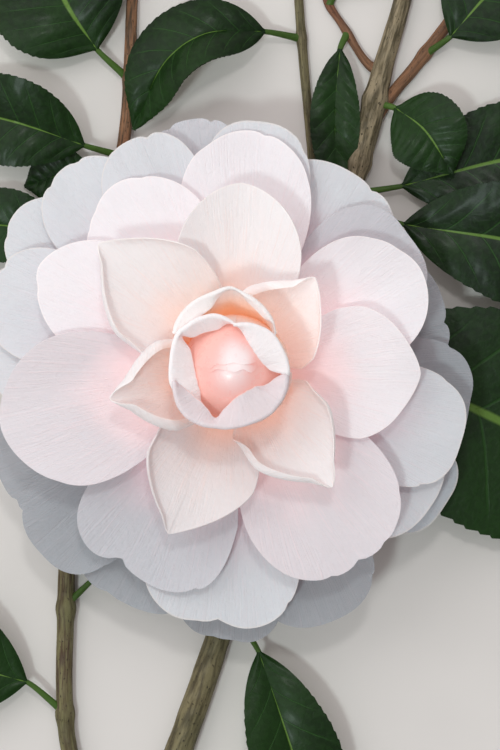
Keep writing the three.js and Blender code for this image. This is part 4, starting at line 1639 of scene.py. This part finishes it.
@dataclass(frozen=True)
class Wood:
    """The main stem and the stems that leave it."""

    stems: tuple[Stem, ...] = (
        Stem("stem_main", (
            lying(-25.7, -113.9, 3.1), lying(-21.2, -102, 3.15), lying(-18.6, -95, 2.85),
            lying(-11.3, -75.2, 2.75), lying(-4.2, -54.8, 2.5), lying(12.9, 1, 2.4), lying(24.3, 41.6, 2.35),
            lying(26.3, 48.5, 2.45), lying(29.3, 60.6, 2.0), lying(33.0, 73.3, 1.75), lying(37.6, 95, 1.45)),
            swellings=(12.5, 71.0, 126.0, 163.0, 176.0), sides=36, seed=41),
        Stem("stem_left", (
            (-21.2, -102, 3.0, 1.8), (-27, -91, 2.2, 1.75), lying(-33.1, -75.2, 1.65), lying(-33.7, -45, 1.7),
            lying(-31.7, -5.9, 1.5), lying(-26.7, 23.8, 1.35), lying(-22.1, 46.5, 1.25),
            lying(-20.6, 73.3, 1.15), lying(-19.4, 91, 0.95)),
            kind=Bark.LEFT, swellings=(36.5, 57.5, 126.0, 145.0, 164.0), collar=0.35, seed=42),
        Stem("stem_side_branch", (
            (25.9, 46.6, 2.35, 0.9), (30.6, 54.2, 1.75, 1.2), lying(35.8, 60.6, 1.2), lying(45.3, 73.3, 1.15),
            lying(56.4, 88, 0.95)), kind=Bark.YOUNG, swellings=(20.0, 33.0), collar=0.4, seed=43),
        Stem("stem_mid_twig", (
            (18.6, 20.4, 2.0, 1.0), (16.0, 31, 1.2, 0.95), lying(15.0, 44.6, 0.9), lying(13.5, 60.6, 0.95),
            lying(12.5, 73.3, 0.9), lying(11.3, 90, 0.75)), swellings=(46.0,), collar=0.4, sides=18, seed=44),
        Stem("stem_short_twig", (
            (29.3, 59.0, 1.9, 0.85), (26.3, 60.8, 1.2, 0.8), lying(21.4, 68.3, 0.75), lying(18.2, 73.3, 0.7),
            lying(15.8, 81.2, 0.6)), kind=Bark.YOUNG, swellings=(11.0, 17.5), collar=0.4, sides=18, seed=45),
        Stem("stem_flower", (
            (12.9, 1, 2.4, 1.7), (8, 0.8, 4.4, 1.5), (2.6, 0.2, 5.6, 1.5), (0.2, 0, 6.6, 1.7),
            (0, 0, RECEPTACLE_FOOT - 0.1, 2.2)), collar=0.3, seed=46),
    )

    def build(self, place: Frame, barks: dict[Bark, Material], cut: Material) -> None:
        """Makes every stem.

        Args:
            place: Where the branch lies.
            barks: Finish of each kind of bark.
            cut: Finish of the cut ends.
        """
        for stem in self.stems:
            slot = Slot.YOUNG_BARK if stem.kind is Bark.YOUNG else Slot.BARK
            place.piece("bark_" + stem.name, stem.skin(), [barks[stem.kind], cut], slot, stem.name)


# Leaves

@dataclass(frozen=True)
class Leaf:
    """One leaf.

    Its stalk grows from stem, rib is where its blade's midrib runs, half is its half width, fold is
    the rise of each half and tilt its turn about the midrib, in degrees.
    """

    name: str
    stem: tuple[float, float, float]
    rib: tuple[tuple[float, float, float], ...]
    half: float
    fold: float
    tilt: float
    seed: int = 60

    ROWS = 121
    COLS = 25
    TEETH = 27
    TOOTH = 0.028            # depth of a tooth as a share of the half width
    LEAST_HALF_WIDTH = 0.35
    PUCKER = 0.08            # height of the swelling between two side veins
    SINK = 0.18              # depth of the midrib's groove
    KEEL = 0.28              # how much thicker the blade is at its midrib
    FLOOR_CLEAR = 0.03
    STALK_RADIUS = 0.72
    STALK_FLATNESS = 0.85
    STALK_RINGS = 22
    STALK_SIDES = 16
    STALK_END = 2.6          # how far the stalk runs on into the blade

    def half_width(self, t: np.ndarray) -> np.ndarray:
        """Half width of the blade, with its teeth.

        Args:
            t: Place along it, from its base, 0, to its tip, 1.

        Returns:
            Millimetres from the midrib to the margin.
        """
        body = np.sin(np.pi * np.clip(t, 0, 1) ** 0.92)
        width = self.half * np.maximum(body, 0) ** 0.78 * (1 - 0.2 * smooth(0.75, 1, t))
        tooth = (t * self.TEETH) % 1.0
        cut = self.TOOTH * self.half * tooth * smooth(0.12, 0.25, t) * (1 - smooth(0.9, 0.97, t))
        return np.maximum(self.LEAST_HALF_WIDTH, width - cut)

    def blade(self) -> Skin:
        """The blade, its midrib sunk and swollen a little between its side veins.

        Returns:
            Its closed surface.
        """
        curve = Curve.through(list(self.rib))
        along = np.linspace(0, 1, self.ROWS)
        spot, way = curve.at(along), curve.tangent(along)
        side = np.stack([-way[:, 1], way[:, 0], 0 * along], -1)
        side /= np.linalg.norm(side, axis=1, keepdims=True)
        up = np.cross(way, side)
        tilt = np.radians(self.tilt) * np.sin(np.pi * along)[:, None]
        side, up = side * np.cos(tilt) + up * np.sin(tilt), up * np.cos(tilt) - side * np.sin(tilt)

        t = along[:, None]
        v = np.linspace(-1, 1, self.COLS)[None, :]
        v = np.sign(v) * np.abs(v) ** 1.15
        off = np.abs(v)
        width = self.half_width(t)
        uneven = Unevenness(self.seed)
        rise = math.tan(math.radians(self.fold)) * (off - 0.42 * v * v) * width
        swept = t - LEAF_SWEEP * off ** LEAF_SWEEP_CURVE
        pucker = self.PUCKER * (1 - np.cos(2 * np.pi * LEAF_VEIN_PAIRS * swept)) * np.sin(np.pi * off) ** 0.8
        sway = 0.35 * uneven.at(v * 1.4 + 8, t * 5) * off * smooth(0.1, 0.4, t)
        rise = rise + pucker + sway - self.SINK * np.exp(-(off / 0.05) ** 2)
        grid = spot[:, None, :] + side[:, None, :] * (v * width)[..., None] + up[:, None, :] * rise[..., None]

        half = mix(LEAF_HALF, LEAF_RIM_HALF, smooth(0.35, 1.0, off)) * mix(1.0, 0.55, smooth(0.8, 1.0, t))
        half = half + self.KEEL * np.exp(-(off / 0.06) ** 2) * (1 - 0.7 * t)
        grid[..., 2] = np.maximum(grid[..., 2], half + self.FLOOR_CLEAR)
        return Skin.sheet(grid, half, pattern(t, (v + 1) / 2), under=1)

    def stalk(self) -> Skin:
        """The petiole, from inside the stem into the foot of the blade.

        Returns:
            Its closed surface.
        """
        base = np.array(self.rib[0], float)
        inward = np.array(self.rib[1], float) - base
        inward /= np.linalg.norm(inward)
        curve = Curve.through([self.stem, tuple(base), tuple(base + self.STALK_END * inward)])
        t = np.linspace(0, 1, self.STALK_RINGS)
        radius = self.STALK_RADIUS * mix(1.1, 0.6, t) * (1 + 0.18 * np.exp(-(t / 0.12) ** 2))
        wide = radius[:, None]
        rings = rings_round(curve, t, wide, wide * self.STALK_FLATNESS, self.STALK_SIDES)
        return Skin.limb(rings, t * curve.length)


@dataclass(frozen=True)
class Foliage:
    """Every leaf."""

    leaves: tuple[Leaf, ...] = (
        Leaf("leaf_right_upper", (22.4, 32.5, 2.2), ((33, 28.6, 7.4), (60, 24, 9.5), (88.2, 13.7, 1.2)),
             half=13, fold=14, tilt=14),
        Leaf("leaf_right_lower", (14.5, 6.0, 3.0), ((21, 3.6, 5.4), (46.5, -7.4, 7.2), (89.2, -28.8, 1.0)),
             half=22, fold=7, tilt=0),
        Leaf("leaf_right_back", (23.0, 35.0, 2.0), ((33, 36.5, 3.2), (56, 42, 4.6), (79.4, 43.1, 0.9)),
             half=11.5, fold=8, tilt=0),
        Leaf("leaf_side_branch", (37.4, 62.6, 1.3), ((42.5, 66, 4.4), (52, 76.5, 6.5), (66, 91, 1.0)),
             half=12.5, fold=12, tilt=-16),
        Leaf("leaf_main_inner", (27.6, 53, 2.4), ((31.6, 51.6, 5.0), (37.0, 47.0, 8.2), (42.5, 38.5, 7.6)),
             half=8, fold=12, tilt=6),
        Leaf("leaf_between", (22.2, 67.2, 0.8), ((20.6, 63.5, 3.2), (19.6, 52, 4.0), (20.0, 33, 2.9)),
             half=5, fold=16, tilt=0),
        Leaf("leaf_short_twig", (18.5, 72.8, 0.8), ((20.4, 76, 2.6), (24.0, 84, 4.6), (27.4, 100, 1.0)),
             half=8, fold=10, tilt=0),
        Leaf("leaf_top_arching", (12.9, 66, 0.8),
             ((5.6, 66.8, 4.8), (-5.9, 65.7, 7.6), (-13.4, 60.6, 7.2), (-20.2, 47.6, 3.4)),
             half=8, fold=26, tilt=30),
        Leaf("leaf_left_upper", (-21.4, 58, 1.0),
             ((-27.6, 63.6, 3.6), (-33.0, 71.5, 5.6), (-39.5, 86.0, 1.0)),
             half=14.5, fold=12, tilt=0),
        Leaf("leaf_left_long", (-22.8, 42.6, 1.1), ((-30, 44.4, 4.6), (-44, 49, 7.0), (-62, 53.0, 1.1)),
             half=9, fold=18, tilt=-12),
        Leaf("leaf_left_small", (-23.4, 38.6, 1.1),
             ((-28.5, 38.8, 2.2), (-34.5, 38.6, 3.0), (-42, 36.6, 1.0)),
             half=5.5, fold=20, tilt=0),
        Leaf("leaf_left_edge", (-27.4, 21, 1.2), ((-34, 25, 3.0), (-45, 28.5, 4.6), (-60.5, 27.6, 1.0)),
             half=7.5, fold=14, tilt=0),
        Leaf("leaf_low_left", (-33.9, -68, 1.5),
             ((-41.4, -61.4, 4.2), (-62, -55.5, 7.0), (-89.2, -51.0, 1.1)),
             half=14, fold=9, tilt=0),
        Leaf("leaf_low_right", (-1.3, -46.5, 2.5),
             ((4.6, -55.5, 5.6), (10.6, -73.5, 7.8), (19.6, -103.9, 1.1)),
             half=9.5, fold=22, tilt=-16),
        Leaf("leaf_under_bloom", (-34.2, -47.0, 1.4),
             ((-28.6, -41.6, 3.6), (-19, -31.5, 5.6), (-7.5, -20.4, 1.6)),
             half=9.5, fold=10, tilt=0),
    )

    def build(self, place: Frame, upper: Material, under: Material, stalk: Material) -> None:
        """Makes every leaf.

        Args:
            place: Where the branch lies.
            upper: Finish of the upper side of a blade.
            under: Finish of its underside.
            stalk: Finish of the petioles.
        """
        for number, leaf in enumerate(self.leaves):
            grown = replace(leaf, seed=leaf.seed + number)
            skin = Skin.joined([grown.blade(), grown.stalk().finished(2)])
            place.piece("fine_" + leaf.name, skin, [upper, under, stalk], Slot.LEAF, leaf.name)


# Surroundings

@dataclass(frozen=True)
class Lamp:
    """A square light that faces the bloom, placed in metres from the foot of the bloom's axis."""

    name: str
    spot: tuple[float, float, float]
    side: float
    watts: float
    colour: tuple[float, float, float] = (1.0, 1.0, 1.0)

    AIM = (0.0, 0.0, 0.03)

    def build(self, axis: np.ndarray) -> None:
        """Makes the light.

        Args:
            axis: The foot of the bloom's axis.
        """
        data = bpy.data.lights.new(self.name, "AREA")
        data.size = self.side
        data.energy = self.watts
        data.color = self.colour
        lamp = bpy.data.objects.new(self.name, data)
        bpy.context.scene.collection.objects.link(lamp)
        lamp.location = axis + np.array(self.spot)
        way = Vector(axis) + Vector(self.AIM) - lamp.location
        lamp.rotation_euler = way.to_track_quat("-Z", "Y").to_euler()


@dataclass(frozen=True)
class Studio:
    """The pale floor, the soft lights and the camera above the bloom.

    camera_place is in metres from the foot of the bloom's axis, and lens and sensor are in
    millimetres, sensor for the long side of the picture.
    """

    floor_side: float = 6.0
    sky: tuple[float, float, float, float] = (1.0, 0.955, 0.96, 1.0)
    sky_strength: float = 0.55
    sky_slope: tuple[float, float] = (-0.25, 0.28)    # how much brighter it grows towards +X and +Y
    lamps: tuple[Lamp, ...] = (
        Lamp("key", (-0.44, -0.42, 1.45), 0.17, 5.6, (0.86, 1.0, 1.0)),
        Lamp("window", (-0.26, 0.24, 0.42), 0.34, 0.46),
        Lamp("crest", (0.02, 0.22, 0.66), 0.06, 0.6),
    )
    camera_place: tuple[float, float, float] = (0.0028, -0.0009, 0.480)
    lens: float = 115.7
    sensor: float = 36.0

    def build(self, place: Frame, floor: Material) -> None:
        """Makes the floor, the lights, the surroundings and the camera.

        Args:
            place: Where the branch lies.
            floor: Finish of the floor.
        """
        side = self.floor_side / 2
        mesh = bpy.data.meshes.new("floor")
        corners = [(-side, -side, 0), (side, -side, 0), (side, side, 0), (-side, side, 0)]
        mesh.from_pydata(corners, [], [(0, 1, 2, 3)])
        mesh.materials.append(floor)
        ground = bpy.data.objects.new("floor", mesh)
        bpy.context.scene.collection.objects.link(ground)
        for lamp in self.lamps:
            lamp.build(place.axis)
        self.world()
        self.camera(place.axis)
        bpy.context.scene.view_settings.view_transform = "Standard"

    def world(self) -> None:
        """Makes the surroundings, which light the shadows from one side more than from the other."""
        world = bpy.data.worlds.new("studio")
        world.use_nodes = True
        sky = world.node_tree.nodes["Background"]
        shop = Shop(world.node_tree)
        parts = shop.add("ShaderNodeSeparateXYZ")
        shop.feed(parts.inputs[0], shop.add("ShaderNodeTexCoord").outputs["Generated"])
        light = self.sky_strength
        for part, slope in zip(parts.outputs, self.sky_slope):
            light = shop.sum("MULTIPLY_ADD", part, slope, light)
        shop.feed(sky.inputs["Color"], self.sky)
        shop.feed(sky.inputs["Strength"], light)
        bpy.context.scene.world = world

    def camera(self, axis: np.ndarray) -> None:
        """Makes the camera, which looks straight down at the bloom.

        Args:
            axis: The foot of the bloom's axis.
        """
        data = bpy.data.cameras.new("camera")
        data.lens = self.lens
        data.sensor_fit = "VERTICAL"
        data.sensor_width = data.sensor_height = self.sensor
        camera = bpy.data.objects.new("camera", data)
        bpy.context.scene.collection.objects.link(camera)
        camera.location = axis + np.array(self.camera_place)
        bpy.context.scene.camera = camera


def petal_finishes(groups: Groups) -> dict[tuple[Ring, Tone], Material]:
    """The finishes of the open petals.

    Args:
        groups: The shared effects.

    Returns:
        A material for each ring and tone that the bloom has, the tones being painted light and shade.
    """
    # The bodies and rims grow greyer ring by ring outwards: painted shade on the lower rings, which lie
    # further from the light and under the rings above them.
    usual = {
        Ring.STAR: PetalFinish("star petals", "#ecac82", "#f5dbd5", "#f0ebeb", "#f9f3f1", "#806c6c",
                               heart_end=0.38, throat_end=0.7, vein_share=0.32, painted_glow=0.2),
        Ring.SECOND: PetalFinish("second ring", "#f2ccc6", "#f8dbde", "#e7e6e8", "#f2eeed", "#b8949c",
                                 heart_end=0.42, throat_end=0.80, painted_glow=0.24),
        Ring.THIRD: PetalFinish("third ring", "#ebc4ca", "#ecd2d9", "#d8dade", "#e2dedc", "#745a60",
                                heart_end=0.48, throat_end=0.88, painted_glow=0.17),
        Ring.OUTER: PetalFinish("outer ring", "#dcc0c6", "#d0c6cc", "#bcc1c7", "#cecac6", "#66565a",
                                heart_end=0.48, throat_end=0.84, painted_glow=0.15),
    }
    # Painted shade: darker bodies, and rims of the same colour, for petals that lie in shade
    painted_shade_bodies = {Ring.STAR: "#e3dddd", Ring.SECOND: "#d4d2d5", Ring.THIRD: "#c6c7cc", Ring.OUTER: "#a0a5aa"}
    finishes = {(ring, Tone.USUAL): finish for ring, finish in usual.items()}
    for ring, body in painted_shade_bodies.items():
        finishes[ring, Tone.DIM] = replace(usual[ring], name=usual[ring].name + " dim", body=body, rim=body)
    # Painted light: a paler star finish with a brighter painted glow, lightening the shade that the cup casts
    # on petal_star_1; its heart is also shorter, as that petal is short.
    finishes[Ring.STAR, Tone.PALE] = PetalFinish(
        "pale star petal", "#f4c4a4", "#f8e2dd", "#f4efee", "#fbf6f4", "#d6b6b6",
        heart_end=0.24, throat_end=0.52, vein_share=0.3, painted_glow=0.2)
    return {key: finish.material(groups) for key, finish in finishes.items()}


def main() -> None:
    """Builds the floor, lights and camera, then the branch piece by piece."""
    logging.basicConfig(level=logging.INFO, format="%(message)s")
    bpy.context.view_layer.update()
    groups = Groups()
    place = Frame()
    Studio().build(place, FloorFinish("pale floor", "#e2ddd9").material(groups))

    petals = petal_finishes(groups)
    # The bud runs from salmon at its foot to near white at its top: partly its own deeper pink near the foot,
    # partly painted light on the top, where the light falls.
    bud = PetalFinish("bud petals", "#fcc2b2", "#f3b4ae", "#fff4f3", "#ffe6e2", "#cc9ca0", heart_end=1.14,
                      throat_end=1.04, vein_share=0.05, painted_glow=0.16, rough=0.26, gloss=0.6, relief=0.00004)
    wrap = PetalFinish("folded petals", "#f5b080", "#f8bfa4", "#fbf5f6", "#fddcd5", "#b29e9e", heart_end=0.75,
                       throat_end=0.80, vein_share=0.05, painted_glow=0.15)
    # Painted shade: a darker copy of the folded petals' finish, with a weaker painted glow, for the lower
    # wrap
    shade = PetalFinish("folded petals in shade", "#f4b088", "#f6c3b0", "#e9dbde", "#fdd8d0", "#4a3e42",
                        heart_end=0.60, throat_end=0.81, vein_share=0.05, painted_glow=0.16)
    cup = PetalFinish("cup petal", "#f6be8e", "#fbd0b8", "#f8f3f2", "#fde6df", "#8a7a76", heart_end=0.66,
                      throat_end=0.86, vein_share=0.06, painted_glow=0.22)
    lit = wrap.material(groups)
    Bud().build(place, bud.material(groups), [lit, lit, shade.material(groups)])
    Bloom().build(place, cup.material(groups), petals)
    sepals = SepalFinish("sepals", "#7f9150", "#8c7a55")
    Calyx().build(place, sepals.material(groups), petals[Ring.THIRD, Tone.USUAL])

    barks = {
        Bark.OLD: BarkFinish("old bark", "#4b422b", "#7d7353", "#332a1c", "#5d6240", 0.45, "#93856a"),
        Bark.LEFT: BarkFinish("left stem bark", "#4c3a28", "#77704c", "#302619", "#60653f", 0.45, "#94694a"),
        Bark.YOUNG: BarkFinish("young bark", "#5a3524", "#8a5d42", "#34201a", "#8d7350", 0.25, "#8a5d42"),
    }
    cut = CutFinish("cut wood", "#d9c69c", "#b89a68").material(groups)
    Wood().build(place, {kind: finish.material(groups) for kind, finish in barks.items()}, cut)

    # The upper side is near-black green: partly the leaf's own dark green, partly painted shade.
    upper = LeafFinish("leaf upper side", "#0a1f05", "#143009", "#254a19", "#5c7c32", 0.42, 0.06)
    under = LeafFinish("leaf underside", "#4c6b3c", "#5a7a46", "#7f9a5c", "#b3c27c", 0.5, 0.05)
    stalk = LeafFinish("leaf stalk", "#3a5420", "#466428", "#537232", "#5e7e38", 0.45, 0.1)
    Foliage().build(place, upper.material(groups), under.material(groups), stalk.material(groups))


if __name__ == "__main__":
    main()
